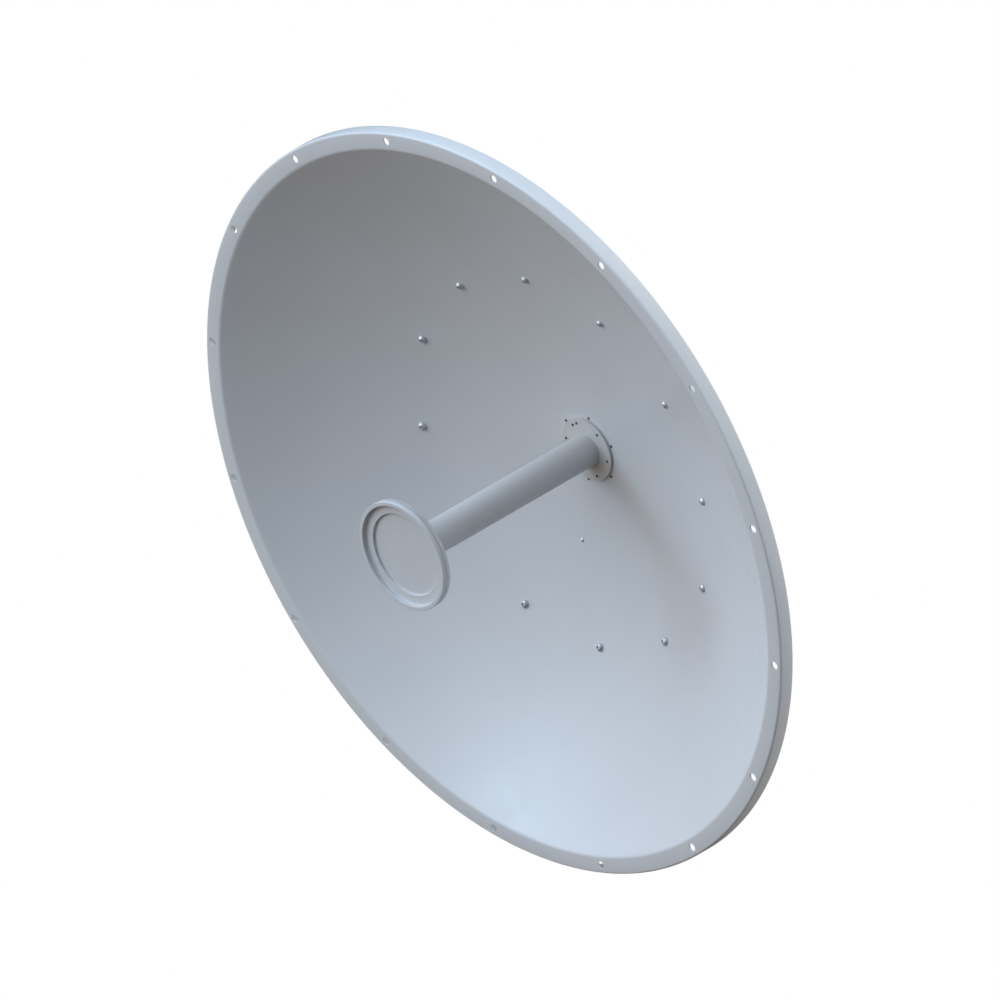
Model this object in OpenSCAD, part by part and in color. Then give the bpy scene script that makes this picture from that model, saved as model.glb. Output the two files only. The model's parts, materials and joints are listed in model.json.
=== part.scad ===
// Solid parabolic dish antenna, one metre class, with a splash-plate feed and an offset pole mount.
// The origin lies on the pole axis, midway along the length that the clamps and the support collar
// grip. +Z points up the pole, the antenna looks along -Y, and +X is on the right of someone facing
// the dish.

/* [Reflector] */
// Outside diameter of the rim flange
rim_d = 1050; // [1040:1:1060]
// Diameter of the open aperture inside the rim flange
aperture_d = 1002; // [990:1:1006]
// Focal length of the paraboloid
focal_len = 357; // [350:1:380]
// Thickness of the spun sheet
sheet_t = 2; // [1.5:0.25:2.5]
// Depth of the skirt rolled back from the rim flange
skirt_depth = 22; // [16:1:26]
// Number of holes round the rim flange
rim_holes = 16; // [8:4:24]
// Diameter of each rim hole
rim_hole_d = 11; // [8:0.5:12]

/* [Back ring] */
// Radius of the circle of screws through the reflector
screw_circle_r = 265.4; // [262:0.2:268]
// Number of screws through the reflector
reflector_screw_count = 12; // [6:6:24]
// Distance from the reflector's vertex back to the ring's rear face
ring_depth = 35; // [33:1:37]
// Thickness of the pressed ring
ring_t = 3; // [2.5:0.5:3.5]

/* [Feed] */
// Outside diameter of the feed tube
tube_d = 45; // [43:0.5:46]
// Wall of the feed tube
tube_wall = 2; // [1.5:0.25:2.5]
// Distance from the reflector's vertex forward to the front of the subreflector cover
cover_front = 344; // [342:1:350]
// Diameter of the subreflector and its cover
cover_d = 154; // [153:1:158]
// Diameter of the flange that carries the feed tube
feed_flange_d = 88; // [86:1:90]

/* [Pole mount] */
// Diameter of the pole
pole_d = 76; // [70:1:78]
// Sideways distance from the pole axis to the dish axis
dish_offset = 130; // [128:1:132]
// Height of the dish axis above the middle of the clamps
dish_height = 95; // [93:1:97]
// Distance from the pole axis forward to the reflector's vertex
dish_forward = 190; // [190:1:192]
// Height of each clamp along the pole
clamp_h = 40; // [36:1:42]
// Distance from the origin down to the middle of the lower clamp
lower_clamp_z = 65; // [64:1:66]
// Distance from the pole axis forward to the elevation pivot
pivot_forward = 82; // [81:1:83]

/* [Elevation adjuster] */
// Distance from the elevation pivot to each end of the adjuster
adjuster_arm = 120; // [119:1:121]
// Half of the angle that the adjuster's two ends make at the elevation pivot
adjuster_half_angle = 20; // [19:0.5:21]
// Sideways position of the adjuster rod
adjuster_x = -61; // [-63:1:-60]
// Length of the threaded rod from its eye's centre
rod_len = 134; // [132:1:136]

/* [Hidden] */
$fn = 64;

seat_gap = 0.05;
fit_gap = 0.02;
run_gap = 0.05;
move_gap = 0.1;
head_lift = 0.08;
screw_play = 0.4;
bolt_play = 0.6;
clamp_play = 1;
cut_over = 1;
one_wall = 10;
all_walls = 60;

rim_r = rim_d / 2;
aperture_r = aperture_d / 2;
dish_depth = sag(aperture_r);
rim_hole_r = (rim_r + aperture_r) / 2;
rim_corner_r = 3;
profile_steps = 28;
land_r = 52;
land_u = sag(land_r);
land_back = land_u - sheet_t;
centre_hole_r = 24;
turned_fn = 128;

ring_seat_half = 19;
ring_flange_in_r = 205;
ring_bolt_r = 228;
spine_bolt_angles = [119.5, 130.5, -119.5, -130.5];
bracket_bolt_angles = [-20, 20];

screw_d = 6;
screw_head_d = 11;
screw_head_h = 5;
screw_edge_h = 1.8;
screw_socket_af = 4;
screw_nut_af = 10;
screw_nut_h = 5;
screw_len = 16;
first_screw_angle = 15;

rivet_r_pos = 139;
rivet_angle = -90;
rivet_dome_r = 4.2;
rivet_head_r = 3.2;
rivet_head_h = 1.6;
rivet_shank_r = 1.6;
rivet_tail_r = 2.8;
rivet_tail_h = 1.9;

tube_r = tube_d / 2;
bore_r = tube_r - tube_wall;
gasket_t = 0.6;
feed_flange_t = 3;
flange_front = land_u + gasket_t + feed_flange_t;
hub_plate_r = 54;
hub_plate_t = 4;
hub_rear = land_back - hub_plate_t;
feed_screw_r = 37.5;
feed_screw_count = 6;
hub_screw_r = 47.7;
small_screw_d = 2.5;
small_head_d = 3.6;
small_head_h = 0.8;
small_play = 0.3;
feed_screw_len = 15.5;
hub_screw_len = 7;
hub_screw_start = 30;
index_pin_r = 37;
index_pin_angle = 134;
index_pin_d = 3.6;
index_pin_up = 1;
gasket_inset = 0.4;
gasket_bore_gap = 1;

omt_flange_r = 43;
omt_flange_t = 5;
omt_half = 32;
omt_round_r = 40;
omt_len = 58;
omt_rear = hub_rear - omt_len;
omt_socket_depth = 10;
tube_rear = hub_rear - omt_socket_depth;
omt_cover_t = 3;
omt_cover_screw_r = 34;
horizontal_port_u = -26;
vertical_port_u = -42;
port_flange = 25.4;
port_flange_t = 2.5;
port_gasket_t = 1;
port_thread_r = 7.94;
port_len = 18;
port_socket_r = 5;
port_socket_u = 8;
port_screw_len = 9;
port_screw_head_h = 2.4;
port_screw_pitch = 18.3;
port_screw_d = 3;
port_screw_head_d = 5.5;
probe_r = 1.5;
probe_hole_r = 3.5;
probe_tip_r = 8;
probe_up = 14;

cover_r = cover_d / 2;
band_depth = 12.2;
seam_up = 5.2;
lip_in_r = 71.4;
step_r = 58;
floor_drop = 6;
step_drop = 3.5;
cover_wall = 1.6;
band_wall = 2.6;
step_draft = 2;
back_draft = 3;
floor_fillet = 1.4;
lip_round = 0.7;
sub_rear = cover_front - band_depth;
seam_u = sub_rear + seam_up;
seal_t = 0.6;
seal_inset = 0.3;
sub_plate_t = 3;
sub_dish_front = cover_front - floor_drop - step_drop - cover_wall;
cone_end_u = sub_dish_front - sub_plate_t;
cone_start_u = 310;
cone_end_r = 48;
cone_plug_len = 26;
tip_r = 9;
tip_len = 9;

m6 = 6;
m8 = 8;
m10 = 10;
m16 = 16;
af_m6 = 10;
af_m8 = 13;
af_m10 = 16;
af_m16 = 24;
head_m6 = 4.5;
head_m8 = 5.3;
head_m10 = 6.4;
head_m16 = 10;
nut_m8 = 6.6;
nut_m10 = 8.4;
nut_m16 = 14.8;

thrust_t = 3;
collar_h = 25;
collar_wall = 10;
collar_ear_t = 10;
collar_bolt_x = 57;
collar_ear_half = 11;
collar_bolt_len = 38;
thrust_slot = 6;
slip = 0.2;
thrust_top = -lower_clamp_z - clamp_h / 2 - slip;
collar_top = thrust_top - thrust_t;
upper_clamp_z = collar_h - collar_top - clamp_h / 2;
clamp_places = [-lower_clamp_z, upper_clamp_z];

plate_t = 6;
saddle_foot_y = -50;
plate_front_y = saddle_foot_y - plate_t;
plate_half_w = 68;
pad_half_h = 23;
plate_low = clamp_places[0] - pad_half_h;
plate_high = clamp_places[1] + pad_half_h;
plate_corner = 8;
waist_half_w = 42;
rib_foot_y = plate_front_y - 14;
rib_end = 4;
pole_r = pole_d / 2;
clamp_wall = 12;
clamp_split = 6;
clamp_ear_t = 16;
clamp_bolt_x = 56;
clamp_ear_half = 12;
clamp_bolt_len = 96;
saddle_half_w = 34;
saddle_pad_t = 14;
saddle_web_half = 9;
window_d = 30;

vertex = [dish_offset, -dish_forward, dish_height];
pivot = [-pivot_forward, dish_height];
spine_front_y = -dish_forward + ring_depth;
spine_t = 4;
spine_half_w = 45;
spine_flange_y = spine_front_y + 34;
spine_half_len = 215;
spine_corner = 6;
spine_cut_back = 20;
spine_bolt_len = 20;
lighten_d = 26;
lighten_up = 150;
ground_z = -20;
ground_washer_d = 14;
ground_washer_t = 1.5;
ground_screw_len = 10;

radio_plate_t = 3;
radio_plate_mid = 163;
radio_plate_w = 142;
radio_plate_h = 184;
radio_plate_corner = 12;
radio_hole_mid = 140;
radio_hole_half_w = 30;
radio_hole_half_h = 40;
radio_hole_d = 6.6;
radio_bolt_len = 18;

ear_t = 5;
ear_out_x = spine_half_w - spine_t;
ear_in_x = ear_out_x - ear_t;
ear_bolt_y = spine_front_y + 19;
ear_bolt_drops = [-75, 0, 45];
ear_bolt_len = 18;
ear_base_r = 13;
ear_web_r = 12;
bush_out_r = 10;
bush_flange_r = 14;
bush_flange_t = 0.9;
side_plate_t = 5;
side_plate_x = ear_in_x - 1;
side_plate_in_x = side_plate_x - side_plate_t;
pivot_end_r = 18;
spacer_r = 13;
lock_r = 55;
lock_angle = 250;
lock_swing = 15;
lock_slot_half = 5.5;
lock_land = 9;
lock_bolt_len = 26;
lock_washer_r = 11;
lock_washer_t = 2;
lock_pos = pivot + lock_r * [cos(lock_angle), sin(lock_angle)];

rod_r = 5;
eye_r = 13;
eye_half_w = 6;
eye_gap = 0.2;
eye_lug_r = 12;
eye_lug_back = 10;
eye_lug_flare = 7.5;
pin_r = 6;
pin_head_d = 18;
pin_head_h = 4;
pin_end_x = -37;
clip_t = 1.5;
clip_r = 8.8;
trunnion_half = 11;
journal_r = 7;
shoulder_r = 10;
lug_x = -47;
lug_t = 8;
lug_r = 13;
trunnion_pos = pivot + adjuster_arm * [sin(adjuster_half_angle), -cos(adjuster_half_angle)];
rod_eye_pos = pivot + adjuster_arm * [-sin(adjuster_half_angle), -cos(adjuster_half_angle)];

white_paint = [0.80, 0.84, 0.89];
zinc = [0.66, 0.68, 0.70];
cast_alloy = [0.72, 0.73, 0.74];
black_oxide = [0.14, 0.14, 0.15];

// ---- Curves and outlines ----

// Height of the paraboloid above its vertex at radius r
function sag(r) = r * r / (4 * focal_len);

// Slope angle of the paraboloid at radius r
function slope(r) = atan(r / (2 * focal_len));

// Angle of one screw round the dish axis
function reflector_screw_angle(i) = first_screw_angle + i * 360 / reflector_screw_count;

// Point on the back of the sheet behind the front point at radius r
function back_point(r) = [r + sheet_t * sin(slope(r)), sag(r) - sheet_t * cos(slope(r))];

// Points along an arc about c
function arc(c, r, a0, a1, steps = 8) =
    [for (i = [0:steps]) let (a = a0 + (a1 - a0) * i / steps) c + r * [cos(a), sin(a)]];

// Outline of a bar with round ends of radius r1 at p1 and r2 at p2
function bar(p1, r1, p2, r2) =
    let (d = p2 - p1, a = atan2(d[1], d[0]), b = acos((r1 - r2) / norm(d)))
    concat(arc(p2, r2, a - b, a + b), arc(p1, r1, a + b, a + 360 - b, 16));

// Outline of a rectangle with round corners, about its centre
function round_rect(w, h, r) = concat(
    arc([w / 2 - r, h / 2 - r], r, 0, 90),
    arc([r - w / 2, h / 2 - r], r, 90, 180),
    arc([r - w / 2, r - h / 2], r, 180, 270),
    arc([w / 2 - r, r - h / 2], r, 270, 360));

// Outline of an arc-shaped slot about the origin, half_w to each side of radius r
function arc_slot(r, half_w, a0, a1) = concat(
    arc([0, 0], r + half_w, a0, a1, 12),
    arc(r * [cos(a1), sin(a1)], half_w, a1 + 10, a1 + 170),
    arc([0, 0], r - half_w, a1, a0, 12),
    arc(r * [cos(a0), sin(a0)], half_w, a0 + 190, a0 + 350));

// ---- Placing helpers ----

// Local x is right, y is up and z is forward from the vertex along the dish axis
module dish_frame() translate(vertex) rotate([90, 0, 0]) children();

// Repeats children round the dish axis at one radius
module ring_of(count, r, start = 0)
    for (i = [0:count - 1]) rotate(start + i * 360 / count) translate([r, 0, 0]) children();

// Stands children on the reflector's front surface, along its normal
module on_surface(r, angle)
    rotate(angle) translate([r, 0, sag(r)]) rotate([0, -slope(r), 0]) children();

// Extrudes an outline drawn in Y and Z, from x0 along +X
module yz_plate(x0, t) translate([x0, 0, 0]) rotate([90, 0, 90]) linear_extrude(t) children();

// Extrudes an outline drawn in X and Z, from y0 along +Y
module xz_plate(y0, t) translate([0, y0 + t, 0]) rotate([90, 0, 0]) linear_extrude(t) children();

// Turns children from +Z to +X, at a point given by x and a Y-Z pair
module facing_x(x, yz, dir = 1) translate([x, yz[0], yz[1]]) rotate([0, 90 * dir, 0]) children();

// Turns children from +Z to +Y
module facing_back(x, y, z) translate([x, y, z]) rotate([-90, 0, 0]) children();

// Turns children from +Z to -Y
module facing_front(x, y, z) translate([x, y, z]) rotate([90, 0, 0]) children();

// ---- Fasteners: the seat is at z = 0, the head is above and the shank below ----

module hex(af, h) cylinder(h = h, r = af / 2 / cos(30), $fn = 6);

module hex_bolt(d, len, af, head_h) {
    hex(af, head_h);
    translate([0, 0, -len]) cylinder(h = len + cut_over, d = d);
}

module hex_nut(d, af, h) difference() {
    hex(af, h);
    translate([0, 0, -cut_over]) cylinder(h = h + 2 * cut_over, r = d / 2 + run_gap);
}

module dome_screw(d, len, head_d, head_h, edge_h, socket_af) {
    dome_h = head_h - edge_h;
    dome_r = (pow(head_d / 2, 2) + pow(dome_h, 2)) / (2 * dome_h);
    difference() {
        intersection() {
            cylinder(h = head_h, d = head_d);
            translate([0, 0, head_h - dome_r]) sphere(dome_r);
        }
        translate([0, 0, head_h / 2]) hex(socket_af, head_h);
    }
    translate([0, 0, -len]) cylinder(h = len + edge_h / 2, d = d);
}

module flat_screw(d, len, head_d, head_h) {
    cylinder(h = head_h, d = head_d);
    translate([0, 0, -len]) cylinder(h = len + head_h / 2, d = d);
}

module through_hole(d, depth) translate([0, 0, -depth]) cylinder(h = 2 * depth, d = d);

// ---- Reflector and back ring ----

module reflector() color(white_paint) {
    radii = [for (i = [0:profile_steps]) land_r + (aperture_r - land_r) * i / profile_steps];
    front = [for (r = radii) [r, sag(r)]];
    back = [for (i = [profile_steps - 1:-1:0]) back_point(radii[i])];
    corner = arc([rim_r - rim_corner_r, dish_depth - rim_corner_r], rim_corner_r, 90, 0, 5);
    inner_corner = arc([rim_r - rim_corner_r, dish_depth - rim_corner_r],
        rim_corner_r - sheet_t, 0, 90, 5);
    profile = concat(
        [[centre_hole_r, land_u]], front, corner,
        [[rim_r, dish_depth - skirt_depth], [rim_r - sheet_t, dish_depth - skirt_depth]],
        inner_corner, [[aperture_r + 1, dish_depth - sheet_t]], back, [[centre_hole_r, land_back]]);
    dish_frame() difference() {
        rotate_extrude($fn = turned_fn) polygon(profile);
        ring_of(rim_holes, rim_hole_r) translate([0, 0, dish_depth]) through_hole(rim_hole_d, one_wall);
        for (i = [0:reflector_screw_count - 1])
            on_surface(screw_circle_r, reflector_screw_angle(i))
                through_hole(screw_d + screw_play, one_wall);
        ring_of(feed_screw_count, feed_screw_r) through_hole(small_screw_d + small_play, one_wall);
        ring_of(feed_screw_count, hub_screw_r, hub_screw_start)
            through_hole(small_screw_d + small_play, one_wall);
        rotate(index_pin_angle) translate([index_pin_r, 0, 0])
            through_hole(index_pin_d + small_play, one_wall);
        on_surface(rivet_r_pos, rivet_angle) through_hole(2 * (rivet_shank_r + run_gap), one_wall);
    }
}

// The seat is a cone parallel to the reflector's back at the screw circle
module back_ring() color(zinc) {
    a = slope(screw_circle_r);
    along = [cos(a), sin(a)];
    normal = [-sin(a), cos(a)];
    foot = [screw_circle_r, sag(screw_circle_r)];
    seat = foot - (sheet_t + seat_gap) * normal;
    seat_back = seat - ring_t * normal;
    wall_r = (seat - ring_seat_half * along)[0];
    back_in = (wall_r + ring_t - seat_back[0]) / along[0];
    dish_frame() difference() {
        rotate_extrude($fn = turned_fn) polygon([
            seat + ring_seat_half * along,
            seat - ring_seat_half * along,
            [wall_r, ring_t - ring_depth],
            [ring_flange_in_r, ring_t - ring_depth],
            [ring_flange_in_r, -ring_depth],
            [wall_r + ring_t, -ring_depth],
            seat_back + back_in * along,
            seat_back + ring_seat_half * along]);
        for (i = [0:reflector_screw_count - 1])
            on_surface(screw_circle_r, reflector_screw_angle(i))
                through_hole(screw_d + screw_play, one_wall);
        for (angle = concat(spine_bolt_angles, bracket_bolt_angles))
            rotate(angle) translate([ring_bolt_r, 0, -ring_depth])
                through_hole(m8 + bolt_play, ring_t + cut_over);
    }
}

module reflector_screws() color(zinc) dish_frame()
    for (i = [0:reflector_screw_count - 1]) on_surface(screw_circle_r, reflector_screw_angle(i))
        translate([0, 0, head_lift])
            dome_screw(screw_d, screw_len, screw_head_d, screw_head_h, screw_edge_h, screw_socket_af);

module reflector_nuts() color(zinc) dish_frame()
    for (i = [0:reflector_screw_count - 1]) on_surface(screw_circle_r, reflector_screw_angle(i))
        translate([0, 0, -sheet_t - 2 * seat_gap - ring_t - screw_nut_h])
            hex_nut(screw_d, screw_nut_af, screw_nut_h);

// A dome in front of the sheet, a shank through it and a flattened tail behind
module bonding_rivet() color(zinc) dish_frame() on_surface(rivet_r_pos, rivet_angle) {
    tail_top = -sheet_t - move_gap;
    intersection() {
        translate([0, 0, head_lift + rivet_head_h - rivet_dome_r]) sphere(rivet_dome_r);
        translate([0, 0, head_lift]) cylinder(h = rivet_dome_r, r = rivet_head_r);
    }
    translate([0, 0, tail_top - rivet_tail_h / 2])
        cylinder(h = rivet_tail_h / 2 - tail_top + rivet_head_h / 2, r = rivet_shank_r);
    translate([0, 0, tail_top - rivet_tail_h]) cylinder(h = rivet_tail_h, r = rivet_tail_r);
}

// ---- Feed ----

module feed_tube() color(white_paint) dish_frame() difference() {
    translate([0, 0, tube_rear]) cylinder(h = cone_start_u - tube_rear, r = tube_r);
    translate([0, 0, tube_rear - cut_over])
        cylinder(h = cone_start_u - tube_rear + 2 * cut_over, r = bore_r);
}

// A disc on the hub, drilled for the tube, the six feed screws and the index pin
module hub_disc(z0, t, outer_r, inner_r) difference() {
    translate([0, 0, z0]) cylinder(h = t, r = outer_r);
    through_hole(2 * inner_r, all_walls);
    ring_of(feed_screw_count, feed_screw_r) through_hole(small_screw_d + 2 * run_gap, all_walls);
    rotate(index_pin_angle) translate([index_pin_r, 0, 0])
        through_hole(index_pin_d + 2 * run_gap, all_walls);
}

module feed_flange() color(white_paint) dish_frame()
    hub_disc(land_u + gasket_t, feed_flange_t, feed_flange_d / 2, tube_r + fit_gap);

module feed_gasket() color(black_oxide) dish_frame()
    hub_disc(land_u, gasket_t, feed_flange_d / 2 - gasket_inset, tube_r + gasket_bore_gap);

module feed_screws() color(black_oxide) dish_frame() ring_of(feed_screw_count, feed_screw_r)
    translate([0, 0, flange_front])
        flat_screw(small_screw_d, feed_screw_len, small_head_d, small_head_h);

module index_pin() color(black_oxide) dish_frame() rotate(index_pin_angle)
    translate([index_pin_r, 0, hub_rear])
        cylinder(h = flange_front - hub_rear + index_pin_up, d = index_pin_d);

module hub_plate() color(cast_alloy) dish_frame() difference() {
    hub_disc(hub_rear, hub_plate_t - seat_gap, hub_plate_r, tube_r + fit_gap);
    ring_of(feed_screw_count, hub_screw_r, hub_screw_start)
        through_hole(small_screw_d + 2 * run_gap, all_walls);
}

module hub_screws() color(black_oxide) dish_frame()
    ring_of(feed_screw_count, hub_screw_r, hub_screw_start) translate([0, 0, land_u])
        flat_screw(small_screw_d, hub_screw_len, small_head_d, small_head_h);

// A square body with its corners turned round, so that each port has a flat pad
module omt_body() color(cast_alloy) dish_frame() difference() {
    feed_screw_end = flange_front - feed_screw_len - cut_over;
    union() {
        translate([0, 0, hub_rear - omt_flange_t]) cylinder(h = omt_flange_t, r = omt_flange_r);
        intersection() {
            translate([-omt_half, -omt_half, omt_rear])
                cube([2 * omt_half, 2 * omt_half, hub_rear - omt_rear - omt_flange_t / 2]);
            translate([0, 0, omt_rear]) cylinder(h = hub_rear - omt_rear, r = omt_round_r);
        }
    }
    translate([0, 0, omt_rear - cut_over]) cylinder(h = 2 * omt_len, r = bore_r);
    translate([0, 0, tube_rear]) cylinder(h = omt_len, r = tube_r + fit_gap);
    ring_of(feed_screw_count, feed_screw_r) translate([0, 0, feed_screw_end])
        cylinder(h = all_walls, d = small_screw_d + 2 * run_gap);
    rotate(45) ring_of(4, omt_cover_screw_r)
        translate([0, 0, omt_rear]) through_hole(port_screw_d + 2 * run_gap, port_screw_len);
    for (port = [0, 1]) port_frame(port) {
        through_hole(2 * probe_hole_r, omt_half);
        port_screw_places() through_hole(port_screw_d + 2 * run_gap, port_screw_len);
    }
}

// Port 0 points to the right and port 1 points down; z = 0 is its pad
module port_frame(port) {
    u = port == 0 ? horizontal_port_u : vertical_port_u;
    translate([0, 0, u]) rotate(-90 * port) translate([omt_half, 0, 0]) rotate([0, 90, 0]) children();
}

module port_screw_places()
    for (x = [-1, 1], y = [-1, 1])
        translate([x * port_screw_pitch / 2, y * port_screw_pitch / 2, 0]) children();

module omt_cover() color(cast_alloy) dish_frame() difference() {
    translate([0, 0, omt_rear - omt_cover_t]) intersection() {
        translate([-omt_half, -omt_half, 0]) cube([2 * omt_half, 2 * omt_half, omt_cover_t]);
        cylinder(h = omt_cover_t, r = omt_round_r);
    }
    rotate(45) ring_of(4, omt_cover_screw_r)
        translate([0, 0, omt_rear]) through_hole(port_screw_d + screw_play, one_wall);
}

module omt_cover_screws() color(zinc) dish_frame() rotate(45) ring_of(4, omt_cover_screw_r)
    translate([0, 0, omt_rear - omt_cover_t]) rotate([180, 0, 0])
        flat_screw(port_screw_d, port_screw_len, port_screw_head_d, port_screw_head_h);

module rf_connector(port) dish_frame() port_frame(port) difference() {
    union() {
        translate([-port_flange / 2, -port_flange / 2, port_gasket_t])
            cube([port_flange, port_flange, port_flange_t]);
        translate([0, 0, port_gasket_t]) cylinder(h = port_len, r = port_thread_r);
    }
    translate([0, 0, port_gasket_t + port_socket_u]) cylinder(h = port_len, r = port_socket_r);
    through_hole(2 * (probe_r + fit_gap), one_wall);
    port_screw_places() through_hole(port_screw_d + screw_play, one_wall);
}

module rf_connector_horizontal() color(cast_alloy) rf_connector(0);

module rf_connector_vertical() color(cast_alloy) rf_connector(1);

module connector_gaskets() color(black_oxide) dish_frame()
    for (port = [0, 1]) port_frame(port) difference() {
        translate([-port_flange / 2, -port_flange / 2, 0])
            cube([port_flange, port_flange, port_gasket_t]);
        through_hole(2 * probe_hole_r, one_wall);
        port_screw_places() through_hole(port_screw_d + screw_play, one_wall);
    }

module connector_screws() color(zinc) dish_frame()
    for (port = [0, 1]) port_frame(port) port_screw_places()
        translate([0, 0, port_gasket_t + port_flange_t])
            flat_screw(port_screw_d, port_screw_len, port_screw_head_d, port_screw_head_h);

module signal_probes() color("goldenrod") dish_frame()
    for (port = [0, 1]) port_frame(port)
        translate([0, 0, probe_tip_r - omt_half])
            cylinder(h = omt_half - probe_tip_r + port_gasket_t + probe_up, r = probe_r);

module subreflector() color(cast_alloy) dish_frame() rotate_extrude($fn = turned_fn) polygon([
    [0, cone_end_u - tip_len],
    [tip_r, cone_end_u],
    [step_r - back_draft, cone_end_u],
    [step_r + back_draft, sub_rear],
    [cover_r, sub_rear],
    [cover_r, seam_u],
    [cover_r - band_wall, seam_u],
    [cover_r - band_wall, cover_front - floor_drop - cover_wall],
    [step_r + step_draft, cover_front - floor_drop - cover_wall],
    [step_r, sub_dish_front],
    [0, sub_dish_front]]);

module dielectric_support() color("white") dish_frame() rotate_extrude($fn = turned_fn) polygon([
    [0, cone_start_u - cone_plug_len],
    [bore_r - fit_gap, cone_start_u - cone_plug_len],
    [bore_r - fit_gap, cone_start_u],
    [tube_r, cone_start_u],
    [cone_end_r, cone_end_u],
    [tip_r, cone_end_u],
    [0, cone_end_u - tip_len]]);

module subreflector_cover() color(white_paint) dish_frame() rotate_extrude($fn = turned_fn) {
    floor_u = cover_front - floor_drop;
    centre_u = floor_u - step_drop;
    polygon(concat(
        [[0, centre_u]],
        arc([step_r - floor_fillet / 2, centre_u + floor_fillet / 2], floor_fillet / 2, 270, 360, 4),
        arc([step_r + lip_round, floor_u - lip_round], lip_round, 180, 90, 4),
        arc([lip_in_r - floor_fillet, floor_u + floor_fillet], floor_fillet, 270, 360, 6),
        arc([lip_in_r + lip_round, cover_front - lip_round], lip_round, 180, 90, 5),
        arc([cover_r - lip_round, cover_front - lip_round], lip_round, 90, 0, 5),
        [[cover_r, seam_u + seal_t],
        [cover_r - band_wall - fit_gap, seam_u + seal_t],
        [cover_r - band_wall - fit_gap, floor_u - cover_wall],
        [step_r + step_draft - fit_gap, floor_u - cover_wall],
        [step_r - fit_gap, centre_u - cover_wall],
        [0, centre_u - cover_wall]]));
}

module cover_seal() color(black_oxide) dish_frame() translate([0, 0, seam_u]) difference() {
    cylinder(h = seal_t, r = cover_r - seal_inset);
    through_hole(2 * (cover_r - band_wall + fit_gap), one_wall);
}

// ---- Frame behind the dish ----

// The left flange carries a lug and a boss for the eye of the adjuster rod
module mount_spine() color(zinc) difference() {
    union() {
        xz_plate(spine_front_y, spine_t) translate([0, dish_height])
            polygon(round_rect(2 * spine_half_w, 2 * spine_half_len, spine_corner));
        for (x0 = [-spine_half_w, spine_half_w - spine_t])
            yz_plate(x0, spine_t) polygon([
                [spine_front_y + spine_t / 2, dish_height - spine_half_len + spine_corner],
                [spine_flange_y, dish_height - spine_half_len + spine_cut_back],
                [spine_flange_y, dish_height + spine_half_len - spine_cut_back],
                [spine_front_y + spine_t / 2, dish_height + spine_half_len - spine_corner]]);
        yz_plate(-spine_half_w, spine_t)
            polygon(bar(rod_eye_pos - [eye_lug_back, 0], eye_lug_r + eye_lug_flare,
                rod_eye_pos, eye_lug_r));
        facing_x(adjuster_x + eye_half_w + eye_gap, rod_eye_pos)
            cylinder(h = -spine_half_w - adjuster_x - eye_half_w + spine_t / 2, r = eye_lug_r - 1);
    }
    facing_x(-spine_half_w, rod_eye_pos) through_hole(2 * (pin_r + fit_gap), 2 * eye_r);
    for (angle = spine_bolt_angles) dish_frame() rotate(angle)
        translate([ring_bolt_r, 0, -ring_depth]) through_hole(m8 + bolt_play, one_wall);
    for (drop = ear_bolt_drops)
        facing_x(0, [ear_bolt_y, dish_height + drop]) through_hole(m8 + bolt_play, all_walls);
    facing_front(0, spine_front_y, ground_z) through_hole(m6 + screw_play, one_wall);
    for (side = [-1, 1])
        facing_front(0, spine_front_y, dish_height + side * lighten_up)
            through_hole(lighten_d, one_wall);
}

module spine_bolts() color(zinc) dish_frame() for (angle = spine_bolt_angles)
    rotate(angle) translate([ring_bolt_r, 0, ring_t - ring_depth])
        hex_bolt(m8, spine_bolt_len, af_m8, head_m8);

module spine_nuts() color(zinc) dish_frame() for (angle = spine_bolt_angles)
    rotate(angle) translate([ring_bolt_r, 0, -ring_depth - spine_t - nut_m8])
        hex_nut(m8, af_m8, nut_m8);

// Flat ears bolted inside the spine's flanges, reaching back to the pivot and the lock bolt
module elevation_ears() color(zinc) for (x0 = [-ear_out_x, ear_in_x]) difference() {
    base_low = [ear_bolt_y, dish_height + ear_bolt_drops[0]];
    base_top = [ear_bolt_y, dish_height + ear_bolt_drops[2]];
    yz_plate(x0, ear_t) union() {
        polygon(bar(base_low, ear_base_r, base_top, ear_base_r));
        polygon(bar(base_top, ear_web_r, pivot, pivot_end_r));
        polygon(bar(base_low, ear_web_r, lock_pos, ear_web_r));
        polygon([base_top, pivot, lock_pos, base_low]);
        polygon(bar(lock_pos, ear_web_r - seat_gap, pivot, pivot_end_r - seat_gap));
    }
    facing_x(0, pivot) through_hole(2 * (bush_out_r + fit_gap), all_walls);
    facing_x(0, lock_pos) through_hole(m10 + 2 * run_gap, all_walls);
    for (drop = ear_bolt_drops)
        facing_x(0, [ear_bolt_y, dish_height + drop]) through_hole(m8 + bolt_play, all_walls);
}

module ear_bolts() color(zinc) for (side = [-1, 1], drop = ear_bolt_drops)
    facing_x(side * spine_half_w, [ear_bolt_y, dish_height + drop], side)
        hex_bolt(m8, ear_bolt_len, af_m8, head_m8);

module ear_nuts() color(zinc) for (side = [-1, 1], drop = ear_bolt_drops)
    facing_x(side * (ear_in_x - nut_m8), [ear_bolt_y, dish_height + drop], side)
        hex_nut(m8, af_m8, nut_m8);

// Flanged bushes: the flange keeps the ear off the side plate
module elevation_bushes() color("tan") for (side = [-1, 1]) facing_x(0, pivot, side) difference() {
    union() {
        translate([0, 0, ear_in_x]) cylinder(h = ear_t, r = bush_out_r);
        translate([0, 0, side_plate_x + move_gap]) cylinder(h = bush_flange_t, r = bush_flange_r);
    }
    through_hole(m16 + 2 * run_gap, all_walls);
}

module lock_bolts() color(zinc) for (side = [-1, 1])
    facing_x(side * ear_out_x, lock_pos, side) hex_bolt(m10, lock_bolt_len, af_m10, head_m10);

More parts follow.
